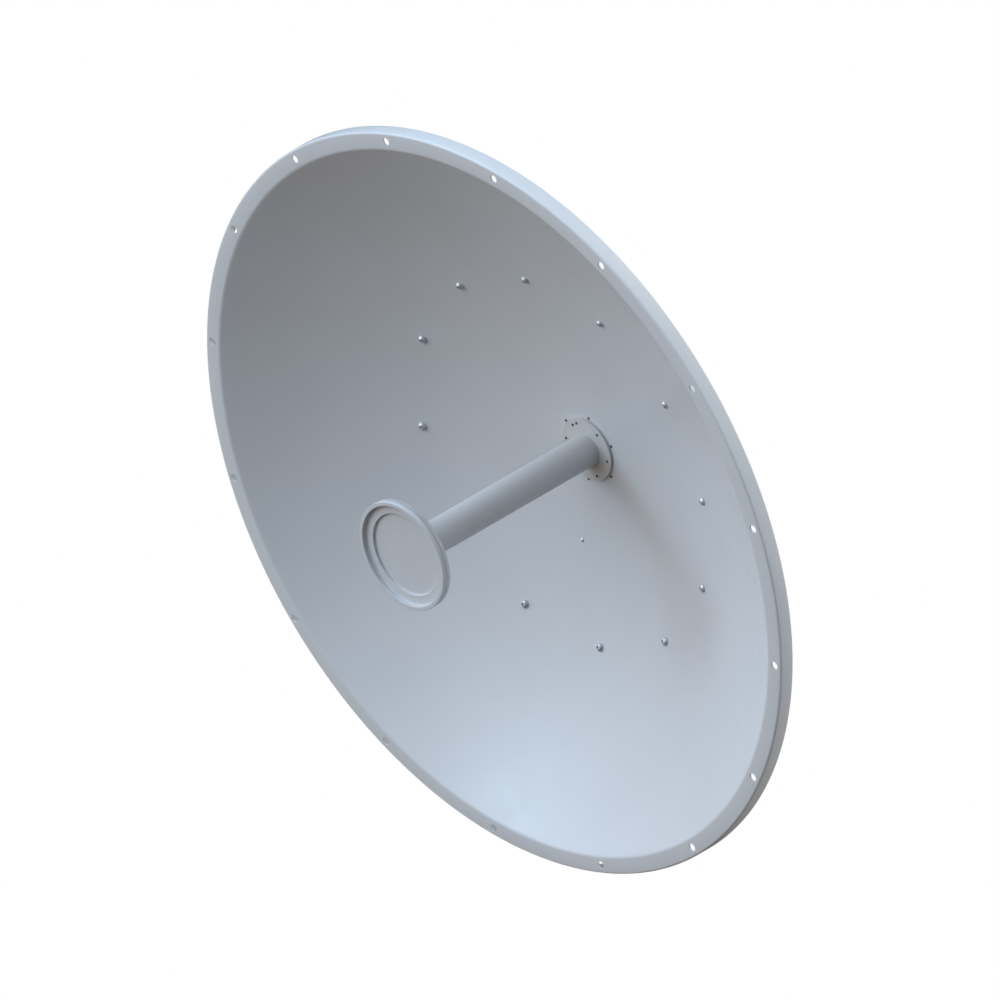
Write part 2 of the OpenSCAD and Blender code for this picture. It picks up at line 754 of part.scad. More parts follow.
module lock_nuts() color(zinc) for (side = [-1, 1])
    facing_x(side * (side_plate_in_x - move_gap), lock_pos, -side) difference() {
        union() {
            cylinder(h = lock_washer_t, r = lock_washer_r);
            hex(af_m10, lock_washer_t + nut_m10);
        }
        through_hole(m10 + 2 * run_gap, 2 * nut_m10);
    }

// A plate across the ring opposite the spine, drilled for a radio
module radio_bracket() color(zinc) dish_frame()
    translate([0, 0, -ring_depth - radio_plate_t]) difference() {
        linear_extrude(radio_plate_t - seat_gap) translate([radio_plate_mid, 0])
            polygon(round_rect(radio_plate_w, radio_plate_h, radio_plate_corner));
        for (angle = bracket_bolt_angles) rotate(angle) translate([ring_bolt_r, 0, 0])
            through_hole(m8 + bolt_play, one_wall);
        for (x = [-1, 1], y = [-1, 1])
            translate([radio_hole_mid + x * radio_hole_half_w, y * radio_hole_half_h, 0])
                through_hole(radio_hole_d, one_wall);
    }

module radio_bracket_bolts() color(zinc) dish_frame() for (angle = bracket_bolt_angles)
    rotate(angle) translate([ring_bolt_r, 0, ring_t - ring_depth])
        hex_bolt(m8, radio_bolt_len, af_m8, head_m8);

module radio_bracket_nuts() color(zinc) dish_frame() for (angle = bracket_bolt_angles)
    rotate(angle) translate([ring_bolt_r, 0, -ring_depth - radio_plate_t - nut_m8])
        hex_nut(m8, af_m8, nut_m8);

module ground_screw() color("goldenrod") facing_back(0, spine_front_y + spine_t, ground_z) {
    flat_screw(m6, ground_screw_len, ground_washer_d, ground_washer_t);
    hex(af_m6, ground_washer_t + head_m6);
}

// ---- Pole bracket and clamps ----

module pole_bracket() color(zinc) {
    slot_low = lock_angle - lock_swing;
    slot_high = lock_angle + lock_swing;
    low_end = pivot + lock_r * [cos(slot_low), sin(slot_low)];
    high_end = pivot + lock_r * [cos(slot_high), sin(slot_high)];
    land = lock_slot_half + lock_land;
    difference() {
        union() {
            xz_plate(plate_front_y, plate_t) union() {
                translate([0, (plate_low + plate_high) / 2])
                    polygon(round_rect(2 * waist_half_w, plate_high - plate_low, plate_corner / 2));
                for (z = clamp_places) translate([0, z])
                    polygon(round_rect(2 * plate_half_w, 2 * pad_half_h, plate_corner));
            }
            for (x0 = [-side_plate_x, side_plate_in_x]) yz_plate(x0, side_plate_t) union() {
                polygon(bar(pivot, pivot_end_r, low_end, land));
                polygon(bar(low_end, land - seat_gap, high_end, land));
                polygon([
                    [plate_front_y + cut_over, pivot[1] - ear_web_r],
                    [pivot[0], pivot[1] + pivot_end_r - rib_end],
                    low_end,
                    high_end - [0, land - cut_over],
                    [rib_foot_y, plate_low + rib_end],
                    [plate_front_y + cut_over, plate_low + rib_end]]);
            }
            yz_plate(lug_x, lug_t) polygon(concat(
                arc(trunnion_pos, lug_r, 90, -90),
                [[plate_front_y, trunnion_pos[1] - lug_r], [plate_front_y, trunnion_pos[1] + lug_r]]));
        }
        facing_x(0, pivot) through_hole(m16 + 2 * run_gap, all_walls);
        yz_plate(-all_walls, 2 * all_walls) translate(pivot)
            polygon(arc_slot(lock_r, lock_slot_half, slot_low, slot_high));
        facing_x(lug_x, trunnion_pos) through_hole(2 * (journal_r + run_gap), lug_t + cut_over);
        for (side = [-1, 1], z = clamp_places)
            facing_front(side * clamp_bolt_x, plate_front_y, z)
                through_hole(m10 + clamp_play, one_wall);
        facing_front(0, plate_front_y, 0) through_hole(window_d, one_wall);
    }
}

module pivot_bolt() color(zinc) facing_x(ear_out_x + move_gap, pivot)
    hex_bolt(m16, 2 * ear_out_x + nut_m16 + spine_t, af_m16, head_m16);

module pivot_nut() color(zinc) facing_x(-ear_out_x - move_gap, pivot, -1)
    hex_nut(m16, af_m16, nut_m16);

module pivot_spacer() color(zinc) facing_x(-side_plate_in_x, pivot) difference() {
    cylinder(h = 2 * side_plate_in_x, r = spacer_r);
    through_hole(m16 + screw_play, 2 * all_walls);
}

// Half of a pole clamp: an arch with two ears, behind the pole
module clamp_half() difference() {
    union() {
        intersection() {
            circle(pole_r + clamp_wall);
            translate([-rim_r, clamp_split]) square(rim_d);
        }
        for (side = [-1, 1]) translate([side * clamp_bolt_x - clamp_ear_half, clamp_split])
            square([2 * clamp_ear_half, clamp_ear_t]);
    }
    circle(pole_r);
}

module at_clamps() for (z = clamp_places) translate([0, 0, z]) children();

module clamp_bolt_holes() for (side = [-1, 1]) translate([side * clamp_bolt_x, 0, 0])
    rotate([90, 0, 0]) through_hole(m10 + clamp_play, all_walls);

module clamp_saddles() color(cast_alloy) at_clamps() difference() {
    translate([0, 0, -clamp_h / 2]) linear_extrude(clamp_h) union() {
        mirror([0, 1]) clamp_half();
        difference() {
            translate([-saddle_half_w, saddle_foot_y]) square([2 * saddle_half_w, saddle_pad_t]);
            circle(pole_r + clamp_wall / 2);
        }
        for (side = [-1, 1]) translate([side * clamp_bolt_x - saddle_web_half, saddle_foot_y])
            square([2 * saddle_web_half, -saddle_foot_y - clamp_split - cut_over]);
    }
    clamp_bolt_holes();
}

module clamp_jaws() color(cast_alloy) at_clamps() difference() {
    translate([0, 0, -clamp_h / 2]) linear_extrude(clamp_h) clamp_half();
    clamp_bolt_holes();
}

module clamp_bolts() color(zinc) at_clamps() for (side = [-1, 1])
    facing_front(side * clamp_bolt_x, plate_front_y, 0)
        hex_bolt(m10, clamp_bolt_len, af_m10, head_m10);

module clamp_nuts() color(zinc) at_clamps() for (side = [-1, 1])
    facing_back(side * clamp_bolt_x, clamp_split + clamp_ear_t, 0)
        hex_nut(m10, af_m10, nut_m10);

// ---- Elevation adjuster ----

module adjuster_trunnion() color(cast_alloy) difference() {
    union() {
        translate([adjuster_x, trunnion_pos[0], trunnion_pos[1]])
            cube(2 * trunnion_half, center = true);
        facing_x(adjuster_x, trunnion_pos)
            cylinder(h = lug_x - move_gap - adjuster_x, r = shoulder_r);
        facing_x(adjuster_x, trunnion_pos) cylinder(h = pin_end_x - adjuster_x, r = journal_r);
    }
    facing_back(adjuster_x, trunnion_pos[0], trunnion_pos[1])
        through_hole(2 * rod_r + bolt_play, 2 * trunnion_half);
}

module pin_clip(shaft_r) difference() {
    cylinder(h = clip_t, r = clip_r);
    through_hole(2 * (shaft_r + fit_gap), 2 * clip_t);
}

module trunnion_clip() color(black_oxide) facing_x(lug_x + lug_t + move_gap, trunnion_pos)
    pin_clip(journal_r);

module adjuster_rod() color(zinc) difference() {
    union() {
        facing_x(adjuster_x - eye_half_w, rod_eye_pos) cylinder(h = 2 * eye_half_w, r = eye_r);
        facing_back(adjuster_x, rod_eye_pos[0], rod_eye_pos[1]) cylinder(h = rod_len, r = rod_r);
    }
    facing_x(adjuster_x, rod_eye_pos) through_hole(2 * (pin_r + run_gap), 2 * eye_half_w);
}

module adjuster_front_nut() color(zinc)
    facing_front(adjuster_x, trunnion_pos[0] - trunnion_half - move_gap, trunnion_pos[1])
        hex_nut(m10, af_m10, nut_m10);

module adjuster_rear_nut() color(zinc)
    facing_back(adjuster_x, trunnion_pos[0] + trunnion_half + move_gap, trunnion_pos[1])
        hex_nut(m10, af_m10, nut_m10);

module rod_pivot_pin() color(zinc)
    facing_x(adjuster_x - eye_half_w - eye_gap, rod_eye_pos, -1)
        flat_screw(2 * pin_r, pin_end_x - adjuster_x + eye_half_w, pin_head_d, pin_head_h);

module rod_pin_clip() color(black_oxide) facing_x(spine_t + move_gap - spine_half_w, rod_eye_pos)
    pin_clip(pin_r);

// ---- Support collar, fixed to the pole under the lower clamp ----

// Half of the collar, behind the pole
module collar_half() difference() {
    translate([0, 0, collar_top - collar_h]) linear_extrude(collar_h) difference() {
        union() {
            intersection() {
                circle(pole_r + collar_wall);
                translate([-rim_r, clamp_split / 2]) square(rim_d);
            }
            for (side = [-1, 1])
                translate([side * collar_bolt_x - collar_ear_half, clamp_split / 2])
                    square([2 * collar_ear_half, collar_ear_t]);
        }
        circle(pole_r);
    }
    for (side = [-1, 1]) translate([side * collar_bolt_x, 0, collar_top - collar_h / 2])
        rotate([90, 0, 0]) through_hole(m8 + clamp_play, all_walls);
}

module collar_rear() color(cast_alloy) collar_half();

module collar_front() color(cast_alloy) mirror([0, 1, 0]) collar_half();

module collar_bolts() color(zinc) for (side = [-1, 1])
    facing_front(side * collar_bolt_x, -clamp_split / 2 - collar_ear_t, collar_top - collar_h / 2)
        hex_bolt(m8, collar_bolt_len, af_m8, head_m8);

module collar_nuts() color(zinc) for (side = [-1, 1])
    facing_back(side * collar_bolt_x, clamp_split / 2 + collar_ear_t, collar_top - collar_h / 2)
        hex_nut(m8, af_m8, nut_m8);

// Split on one side so that it opens round the pole
module thrust_ring() color("white") translate([0, 0, collar_top]) difference() {
    cylinder(h = thrust_t, r = pole_r + collar_wall - 1);
    through_hole(pole_d + 1, one_wall);
    translate([0, -thrust_slot / 2, -cut_over]) cube([pole_d, thrust_slot, one_wall]);
}

reflector();
back_ring();
reflector_screws();
reflector_nuts();
bonding_rivet();
feed_tube();
feed_flange();
feed_gasket();
feed_screws();
index_pin();
hub_plate();
hub_screws();
omt_body();
omt_cover();
omt_cover_screws();
rf_connector_horizontal();
rf_connector_vertical();
connector_gaskets();
connector_screws();
signal_probes();
subreflector();
dielectric_support();
subreflector_cover();
cover_seal();
mount_spine();
spine_bolts();
spine_nuts();
elevation_ears();
ear_bolts();
ear_nuts();
elevation_bushes();
lock_bolts();
lock_nuts();
radio_bracket();
radio_bracket_bolts();
radio_bracket_nuts();
ground_screw();
rod_pivot_pin();
rod_pin_clip();
pole_bracket();
pivot_bolt();
pivot_nut();
pivot_spacer();
clamp_saddles();
clamp_jaws();
clamp_bolts();
clamp_nuts();
adjuster_trunnion();
trunnion_clip();
adjuster_rod();
adjuster_front_nut();
adjuster_rear_nut();
collar_front();
collar_rear();
collar_bolts();
collar_nuts();
thrust_ring();
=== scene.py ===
"""A one metre dish antenna on its pole mount: surfaces, soft studio light and an isometric camera."""

import json
import math

import bmesh
import bpy
import numpy as np
from mathutils import Matrix, Vector


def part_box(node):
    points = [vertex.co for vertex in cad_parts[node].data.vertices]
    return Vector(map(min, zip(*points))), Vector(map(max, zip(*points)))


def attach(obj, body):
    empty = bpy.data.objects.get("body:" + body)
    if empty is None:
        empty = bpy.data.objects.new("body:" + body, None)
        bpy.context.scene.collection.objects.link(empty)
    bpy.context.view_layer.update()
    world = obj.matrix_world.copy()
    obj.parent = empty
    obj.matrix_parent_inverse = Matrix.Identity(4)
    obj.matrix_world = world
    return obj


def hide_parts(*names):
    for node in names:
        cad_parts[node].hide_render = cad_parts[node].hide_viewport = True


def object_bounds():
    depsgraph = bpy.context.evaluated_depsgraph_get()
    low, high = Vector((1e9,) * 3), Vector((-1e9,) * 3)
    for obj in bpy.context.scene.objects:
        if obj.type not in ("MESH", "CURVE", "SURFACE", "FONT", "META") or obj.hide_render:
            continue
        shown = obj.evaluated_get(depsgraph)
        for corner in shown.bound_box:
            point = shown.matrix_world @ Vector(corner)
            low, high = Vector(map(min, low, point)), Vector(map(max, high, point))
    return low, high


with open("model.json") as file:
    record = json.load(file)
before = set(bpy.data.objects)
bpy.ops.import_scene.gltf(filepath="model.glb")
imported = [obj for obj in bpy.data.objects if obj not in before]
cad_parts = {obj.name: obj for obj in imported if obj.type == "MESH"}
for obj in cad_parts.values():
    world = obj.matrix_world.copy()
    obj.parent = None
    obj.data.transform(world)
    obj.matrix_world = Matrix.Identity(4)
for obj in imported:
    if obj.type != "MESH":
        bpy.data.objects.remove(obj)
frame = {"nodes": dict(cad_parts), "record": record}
cad_low, cad_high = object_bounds()

MM = 0.001

# ---- Driving sizes, in metres, shared with the CAD model; angles are in degrees ----

# Reflector
FOCAL = 357 * MM
APERTURE_R = 501 * MM
SHEET = 2 * MM
SKIRT = 22 * MM
RIM_ROUND = 3 * MM
CREASE = 2.5 * MM
LAND_R = 52 * MM
LAND_ROUND = 2 * MM
LAND_BACK_ROUND = 1 * MM
CENTRE_HOLE_R = 24 * MM
RIM_HOLES = 16
RIM_HOLE_R = 5.5 * MM
RIVET_R = 139 * MM
RIVET_ANGLE = -90
RIVET_HOLE_R = 1.65 * MM
HOLE_CUT = 14 * MM

# Dome screws that hold the reflector on its back ring, and their nuts
SCREW_COUNT = 12
SCREW_START = 15
SCREW_CIRCLE_R = 265.4 * MM
SCREW_HOLE_R = 3.2 * MM
SCREW_R = 3 * MM
SCREW_LEN = 16 * MM
SCREW_PITCH = 1 * MM
HEAD_R = 5.5 * MM
HEAD_ROUND = 0.3 * MM
EDGE_H = 1.8 * MM
DOME_H = 3.2 * MM
SOCKET_FLATS = 4 * MM
SOCKET_Z = 2.5 * MM
HEAD_LIFT = 0.08 * MM
RING_SHEET = 3 * MM
SCREW_NUT_FLATS = 10 * MM
SCREW_NUT_H = 5 * MM
SCREW_NUT_BORE_R = 3.05 * MM
SCREW_NUT_GAP = 0.1 * MM

# Hub
GASKET = 0.6 * MM
FLANGE_SHEET = 3 * MM
HUB_REAR = -4.1 * MM
SMALL_SCREW_COUNT = 6
SMALL_SCREW_R = 1.25 * MM
SMALL_HEAD_R = 1.8 * MM
SMALL_HEAD_H = 0.8 * MM
SMALL_HOLE_R = 1.4 * MM
FEED_SCREW_R = 37.5 * MM
FEED_SCREW_LEN = 15.5 * MM
HUB_SCREW_R = 47.7 * MM
HUB_SCREW_START = 30
HUB_SCREW_LEN = 7 * MM
INDEX_PIN_R = 37 * MM
INDEX_PIN_ANGLE = 134
INDEX_PIN_PLAY = 0.1 * MM
INDEX_PIN_EDGE = 0.6 * MM
INDEX_PIN_BEVEL = 0.9 * MM
INDEX_PIN_UP = 1 * MM

# Feed tube
TUBE_R = 22.5 * MM
TUBE_BORE_R = 20.5 * MM
TUBE_FRONT = 310 * MM
TUBE_REAR = HUB_REAR - 10 * MM
TUBE_EDGE = 0.3 * MM

# Subreflector cover
COVER_FRONT = 344 * MM
COVER_REAR = 337.6 * MM
COVER_R = 77 * MM
COVER_WALL = 1.6 * MM
COVER_EDGE = 0.7 * MM
COVER_FILLET = 1.4 * MM
COVER_REAR_EDGE = 0.3 * MM
BAND_WALL = 2.62 * MM
LIP_R = 71.4 * MM
FLOOR_DROP = 6 * MM
STEP_R = 58 * MM
STEP_DROP = 3.5 * MM
# The sloping wall behind the step ends this far outside and inside the step's radius
STEP_BACK_OUT = 1.98 * MM
STEP_BACK_IN = 0.02 * MM

# Coaxial ports
PAD = 32 * MM
PORT_BACK = (-26 * MM, -42 * MM)
PORT_FLANGE = 25.4 * MM
PORT_FLANGE_T = 2.5 * MM
PORT_EDGE = 0.4 * MM
PORT_GASKET = 1 * MM
PORT_R = 7.94 * MM
PORT_LEN = 18 * MM
PORT_ROOT = 1 * MM
PORT_PITCH = 1.06 * MM
PORT_SOCKET_R = 5 * MM
PORT_SOCKET_Z = 8 * MM

# Adjuster rod
EYE_R = 13 * MM
EYE_HALF_W = 6 * MM
EYE_EDGE = 0.8 * MM
PIN_BORE_R = 6.05 * MM
ROD_R = 5 * MM
ROD_PITCH = 1.5 * MM
ROD_ROOT = 2 * MM
ROD_NECK = 5 * MM
ROD_THREAD_START = 6 * MM

# Weld beads of the pole bracket
WELD_R = 3 * MM
WELD_BELOW = 8 * MM
WELD_TOP = 78 * MM
LUG_WELD_SHARE = 0.6
# Shares of the bead's radius: the length of a ripple, and the size of the bead's ends
WELD_RIPPLE = 0.6
WELD_END = 0.4
BRACKET_PLATE = 6 * MM
SIDE_PLATE_FACES = (-35 * MM, -30 * MM, 30 * MM, 35 * MM)
LUG_FACE = -39 * MM

# Folded bends of the mount spine: its long edges that lie in front of BEND_Y
BEND_MIN = 300 * MM
BEND_Y = -150 * MM
BEND_R = 3 * MM
BEND_STEPS = 5

# ---- Fineness of the meshes ----

DISH_SIDES = 288
COVER_SIDES = 192
TUBE_SIDES = 144
HEX_SIDES = 48
HOLE_SIDES = 32
WELD_SIDES = 16
FRONT_POINTS = 110
BACK_POINTS = 80
THREAD_STEPS = 6
WELD_STEPS = 5
# Points this near are one, edges flatter than the first angle go, and ones sharper than
# the second are rounded
MERGE = 1e-6
FLAT_ANGLE = 0.4
SHARP_ANGLE = 35
# Edges sharper than these stay crisp in the smooth shading
DISH_CRISP = 26
FASTENER_CRISP = 25
ROUNDED_CRISP = 50
WELD_CRISP = 60

dish_low, dish_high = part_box("reflector")
RIM_R = (dish_high.x - dish_low.x) / 2
DEPTH = APERTURE_R ** 2 / (4 * FOCAL)
VERTEX = Vector(((dish_low.x + dish_high.x) / 2, dish_low.y + DEPTH, (dish_low.z + dish_high.z) / 2))
# Dish frame: x right, y up, z forward along the dish axis, with the vertex at its origin
DISH = Matrix.Translation(VERTEX) @ Matrix.Rotation(math.radians(90), 4, "X")


def sag(r):
    """Height of the paraboloid above its vertex."""
    return r * r / (4 * FOCAL)


def slope(r):
    """Slope angle of the paraboloid."""
    return math.atan(r / (2 * FOCAL))


# ---- Mesh helpers ----


def arc(centre, radius, start, end, steps):
    """Points along an arc, by angles in degrees."""
    angles = np.radians(np.linspace(start, end, steps + 1))
    return [(centre[0] + radius * math.cos(a), centre[1] + radius * math.sin(a)) for a in angles]


def curve(a, control, b, steps):
    """Points along a quadratic curve from a to b, without its end points."""
    return [
        tuple((1 - t) ** 2 * p + 2 * t * (1 - t) * q + t * t * s for p, q, s in zip(a, control, b))
        for t in np.linspace(0, 1, steps + 2)[1:-1]
    ]


def around(count, start=0):
    """Angles of evenly spaced places round an axis, in degrees."""
    return [start + 360 / count * i for i in range(count)]


def new_object(name, mesh_data, matrix=Matrix.Identity(4)):
    """Links a bmesh as an object whose mesh lies in the shared frame."""
    mesh = bpy.data.meshes.new(name)
    mesh_data.transform(matrix)
    bmesh.ops.recalc_face_normals(mesh_data, faces=mesh_data.faces)
    mesh_data.to_mesh(mesh)
    mesh_data.free()
    obj = bpy.data.objects.new(name, mesh)
    bpy.context.scene.collection.objects.link(obj)
    return obj


def round_ring(r, z, count):
    """A circle of points round the local z axis."""
    angles = (2 * math.pi * i / count for i in range(count))
    return [(r * math.cos(a), r * math.sin(a), z) for a in angles]


def lathe(name, outline, segments):
    """Turns a closed outline of (radius, height) points about the dish's axis."""
    bm = bmesh.new()
    rings = []
    for r, h in outline:
        if r == 0:
            rings.append([bm.verts.new((0, 0, h))] * segments)
        else:
            rings.append([bm.verts.new(point) for point in round_ring(r, h, segments)])
    for low, high in zip(rings, rings[1:] + rings[:1]):
        for i in range(segments):
            j = (i + 1) % segments
            corners = list(dict.fromkeys((low[i], low[j], high[j], high[i])))
            if len(corners) > 2:
                bm.faces.new(corners)
    return new_object(name, bm, DISH)


def stack(bm, rings, matrix, closed=False):
    """Joins rings of equally many points into one skin, capped at both ends unless closed."""
    loops = [[bm.verts.new(matrix @ Vector(point)) for point in ring] for ring in rings]
    pairs = list(zip(loops, loops[1:] + loops[:1])) if closed else list(zip(loops, loops[1:]))
    for low, high in pairs:
        for i in range(len(low)):
            j = (i + 1) % len(low)
            bm.faces.new((low[i], low[j], high[j], high[i]))
    if not closed:
        bm.faces.new(loops[0][::-1])
        bm.faces.new(loops[-1])


def shade(obj, angle):
    """Smooth shading, with edges sharper than the angle kept crisp."""
    limit = math.radians(angle)
    bm = bmesh.new()
    bm.from_mesh(obj.data)
    for face in bm.faces:
        face.smooth = True
    for edge in bm.edges:
        edge.smooth = len(edge.link_faces) == 2 and edge.calc_face_angle(0) < limit
    bm.to_mesh(obj.data)
    bm.free()
    return obj


def drill(obj, holes):
    """Cuts round holes: each is a matrix whose z axis is the hole's, and a radius."""
    bm = bmesh.new()
    for matrix, radius in holes:
        bmesh.ops.create_cone(
            bm, cap_ends=True, segments=HOLE_SIDES, radius1=radius, radius2=radius,
            depth=HOLE_CUT, matrix=matrix,
        )
    cutter = new_object("cutter", bm)
    modifier = obj.modifiers.new("holes", "BOOLEAN")
    modifier.operation = "DIFFERENCE"
    modifier.solver = "EXACT"
    modifier.object = cutter
    bpy.context.view_layer.update()
    evaluated = obj.evaluated_get(bpy.context.evaluated_depsgraph_get())
    obj.data = bpy.data.meshes.new_from_object(evaluated)
    obj.modifiers.clear()
    bpy.data.objects.remove(cutter)
    return obj


def place(obj, body, slot, material, *nodes):
    """Gives a piece its material and body, and lets it stand for CAD nodes."""
    obj.data.materials.clear()
    obj.data.materials.append(material)
    if nodes:
        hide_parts(*nodes)
    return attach(obj, body)


def even(obj):
    """Keeps flat faces flat where they meet small rounded edges."""
    modifier = obj.modifiers.new("even", "WEIGHTED_NORMAL")
    modifier.mode = "FACE_AREA"
    modifier.weight = 100
    modifier.keep_sharp = True
    return obj


def cad_mesh(node):
    """An editable copy of a CAD node's mesh, with points at one place merged."""
    bm = bmesh.new()
    bm.from_mesh(frame["nodes"][node].data)
    bmesh.ops.remove_doubles(bm, verts=bm.verts, dist=MERGE)
    return bm


def sharp_edges(bm):
    """The edges where two faces meet at a clear angle."""
    limit = math.radians(SHARP_ANGLE)
    return [e for e in bm.edges if len(e.link_faces) == 2 and e.calc_face_angle(0) > limit]


def round_bends(bm):
    """Rounds the folds of the mount spine's sheet."""
    bends = [
        edge for edge in sharp_edges(bm)
        if edge.calc_length() > BEND_MIN and max(v.co.y for v in edge.verts) < BEND_Y
    ]
    bmesh.ops.bevel(bm, geom=bends, offset=BEND_R, segments=BEND_STEPS, profile=0.5, affect="EDGES")


def refine(node, width):
    """A copy of a CAD node with its flat faces whole and its sharp edges rounded."""
    bm = cad_mesh(node)
    bmesh.ops.dissolve_limit(bm, angle_limit=math.radians(FLAT_ANGLE), verts=bm.verts, edges=bm.edges)
    if node == "mount_spine":
        round_bends(bm)
    bmesh.ops.bevel(
        bm, geom=sharp_edges(bm), offset=width, offset_type="OFFSET", segments=2, profile=0.6,
        affect="EDGES", clamp_overlap=True,
    )
    return even(shade(new_object(node + "_finished", bm), ROUNDED_CRISP))


# ---- Fasteners, in a local frame with the seat at z = 0 and the head above ----

CHAMFER = math.tan(math.radians(30))
# Shares of the distance across flats
CHAMFER_START = 0.95
WASHER_FACE_H = 0.04
WASHER_FACE_R = 0.47
NUT_SINK = 0.08
# Shares of the pitch; a flank rises to full height in 1 / THREAD_FLANK of it
THREAD_DEPTH = 0.54
THREAD_FLANK = 2.6
# Shares of the largest distance from the axis: points beyond the first are the head's, and
# points within the second the shank's
HEAD_REACH = 0.9
SHANK_REACH = 0.8


def hex_radius(i, flats):
    """Distance from the axis to a hexagon's side in one of the ring's directions; a corner is at 0."""
    turn = (2 * math.pi * i / HEX_SIDES) % (math.pi / 3) - math.pi / 6
    return flats / 2 / math.cos(turn)


def hex_ring(flats, height):
    """A hexagonal ring, with its height given as a function of the distance from the axis."""
    ring = []
    for i in range(HEX_SIDES):
        r, a = hex_radius(i, flats), 2 * math.pi * i / HEX_SIDES
        ring.append((r * math.cos(a), r * math.sin(a), height(r)))
    return ring


def circle(r, z):
    """A round ring with as many points as a hexagonal one."""
    return round_ring(r, z, HEX_SIDES)


def hex_wall(flats, low, high, chamfer_low):
    """Rings up the outside of a hexagon whose corners are turned off at the top, or at both ends."""
    face = flats / 2 * CHAMFER_START
    rings = [circle(face, low)] if chamfer_low else []
    rings.append(hex_ring(flats, lambda r: low + (r - face) * CHAMFER if chamfer_low else low))
    rings.append(hex_ring(flats, lambda r: high - (r - face) * CHAMFER))
    return rings + [circle(face, high)]


def thread(r, pitch, start, end):
    """Rings down a screw thread from start to end, ending in a chamfered tip."""
    depth = THREAD_DEPTH * pitch
    rings = [circle(r, start)]
    count = int((start - end - pitch) / pitch * THREAD_STEPS)
    for k in range(count):
        z = start - k * pitch / THREAD_STEPS
        run_in = min(1, k / THREAD_STEPS)
        ring = []
        for i in range(HEX_SIDES):
            phase = (z / pitch - i / HEX_SIDES) % 1
            height = min(1, THREAD_FLANK * min(phase, 1 - phase)) * run_in
            radius = r - depth * (1 - height)
            a = 2 * math.pi * i / HEX_SIDES
            ring.append((radius * math.cos(a), radius * math.sin(a), z))
        rings.append(ring)
    rings.append(circle(r - depth, end + pitch / 2))
    return rings + [circle(r - 1.4 * depth, end)]


def add_bolt(bm, matrix, flats, head, r, length, threaded, pitch):
    """A hexagon bolt: washer face, chamfered head, plain shank and thread."""
    washer_h, washer_r = WASHER_FACE_H * flats, WASHER_FACE_R * flats
    rings = [circle(0.3 * r, head)] + hex_wall(flats, washer_h, head, False)[::-1]
    rings += [circle(washer_r, washer_h), circle(washer_r, 0), circle(r, 0)]
    rings += thread(r, pitch, threaded - length, -length)
    stack(bm, rings, matrix)


def add_nut(bm, matrix, flats, height, bore):
    """A hexagon nut, chamfered on both faces and countersunk at both ends of its bore."""
    sink = NUT_SINK * flats
    rings = [circle(bore + sink, 0)] + hex_wall(flats, 0, height, True) + [circle(bore + sink, height)]
    rings += [circle(bore, height - sink), circle(bore, sink)]
    stack(bm, rings, matrix, closed=True)


def add_dome_screw(bm, matrix):
    """A dome-head socket screw of the reflector, with its thread behind."""
    dome_r = (HEAD_R ** 2 + DOME_H ** 2) / (2 * DOME_H)
    centre = EDGE_H + DOME_H - dome_r
    mouth = SOCKET_FLATS * 0.6

    def dome(r):
        """Height of the head's dome."""
        return centre + math.sqrt(dome_r ** 2 - r * r)

    rings = [circle(0.3 * SOCKET_FLATS, SOCKET_Z - HEAD_ROUND)]
    rings += [hex_ring(SOCKET_FLATS, lambda r: SOCKET_Z)]
    rings += [hex_ring(SOCKET_FLATS, lambda r: dome(mouth) - HEAD_ROUND), circle(mouth, dome(mouth))]
    rings += [circle(r, dome(r)) for r in np.linspace(mouth + HEAD_ROUND, HEAD_R - HEAD_ROUND, 10)]
    rings += [circle(HEAD_R, EDGE_H), circle(HEAD_R, HEAD_ROUND), circle(HEAD_R - HEAD_ROUND, 0)]
    rings += [circle(SCREW_R, 0)] + thread(SCREW_R, SCREW_PITCH, -SCREW_PITCH, -SCREW_LEN)
    stack(bm, rings, matrix)


def add_small_screw(bm, matrix, length):
    """A small flat-topped socket screw."""
    r, h = SMALL_HEAD_R, SMALL_HEAD_H
    rings = [circle(0.3 * r, 0.3 * h), circle(0.5 * r, 0.4 * h), circle(0.5 * r, h)]
    rings += [circle(0.85 * r, h), circle(r, 0.7 * h), circle(r, 0)]
    rings += [circle(SMALL_SCREW_R, 0), circle(SMALL_SCREW_R, -length)]
    stack(bm, rings, matrix)


def add_weld(bm, start, end, radius):
    """A weld bead: shallow round ripples laid one on another along a line."""
    start, end = Vector(start), Vector(end)
    along = (end - start).normalized()
    turn = along.to_track_quat("Z", "Y").to_matrix().to_4x4()
    length = (end - start).length
    ripple = WELD_RIPPLE * radius
    rings = []
    for k in range(int(length / ripple * WELD_STEPS) + 1):
        z = k * ripple / WELD_STEPS
        rise = abs(math.sin(math.pi * z / ripple))
        taper = min(1, WELD_END + z / radius, WELD_END + (length - z) / radius)
        rings.append(round_ring(radius * taper * (0.94 + 0.06 * rise), z, WELD_SIDES))
    stack(bm, rings, Matrix.Translation(start) @ turn)


def solids(node):
    """The points of each separate solid in a CAD node, in the same order each run."""
    bm = cad_mesh(node)
    left = set(bm.verts)
    parts = []
    for first in bm.verts:
        if first not in left:
            continue
        left.remove(first)
        waiting = [first]
        part = []
        while waiting:
            vert = waiting.pop()
            part.append(tuple(vert.co))
            fresh = [e.other_vert(vert) for e in vert.link_edges if e.other_vert(vert) in left]
            left.difference_update(fresh)
            waiting += fresh
        parts.append(np.array(part))
    bm.free()
    return parts


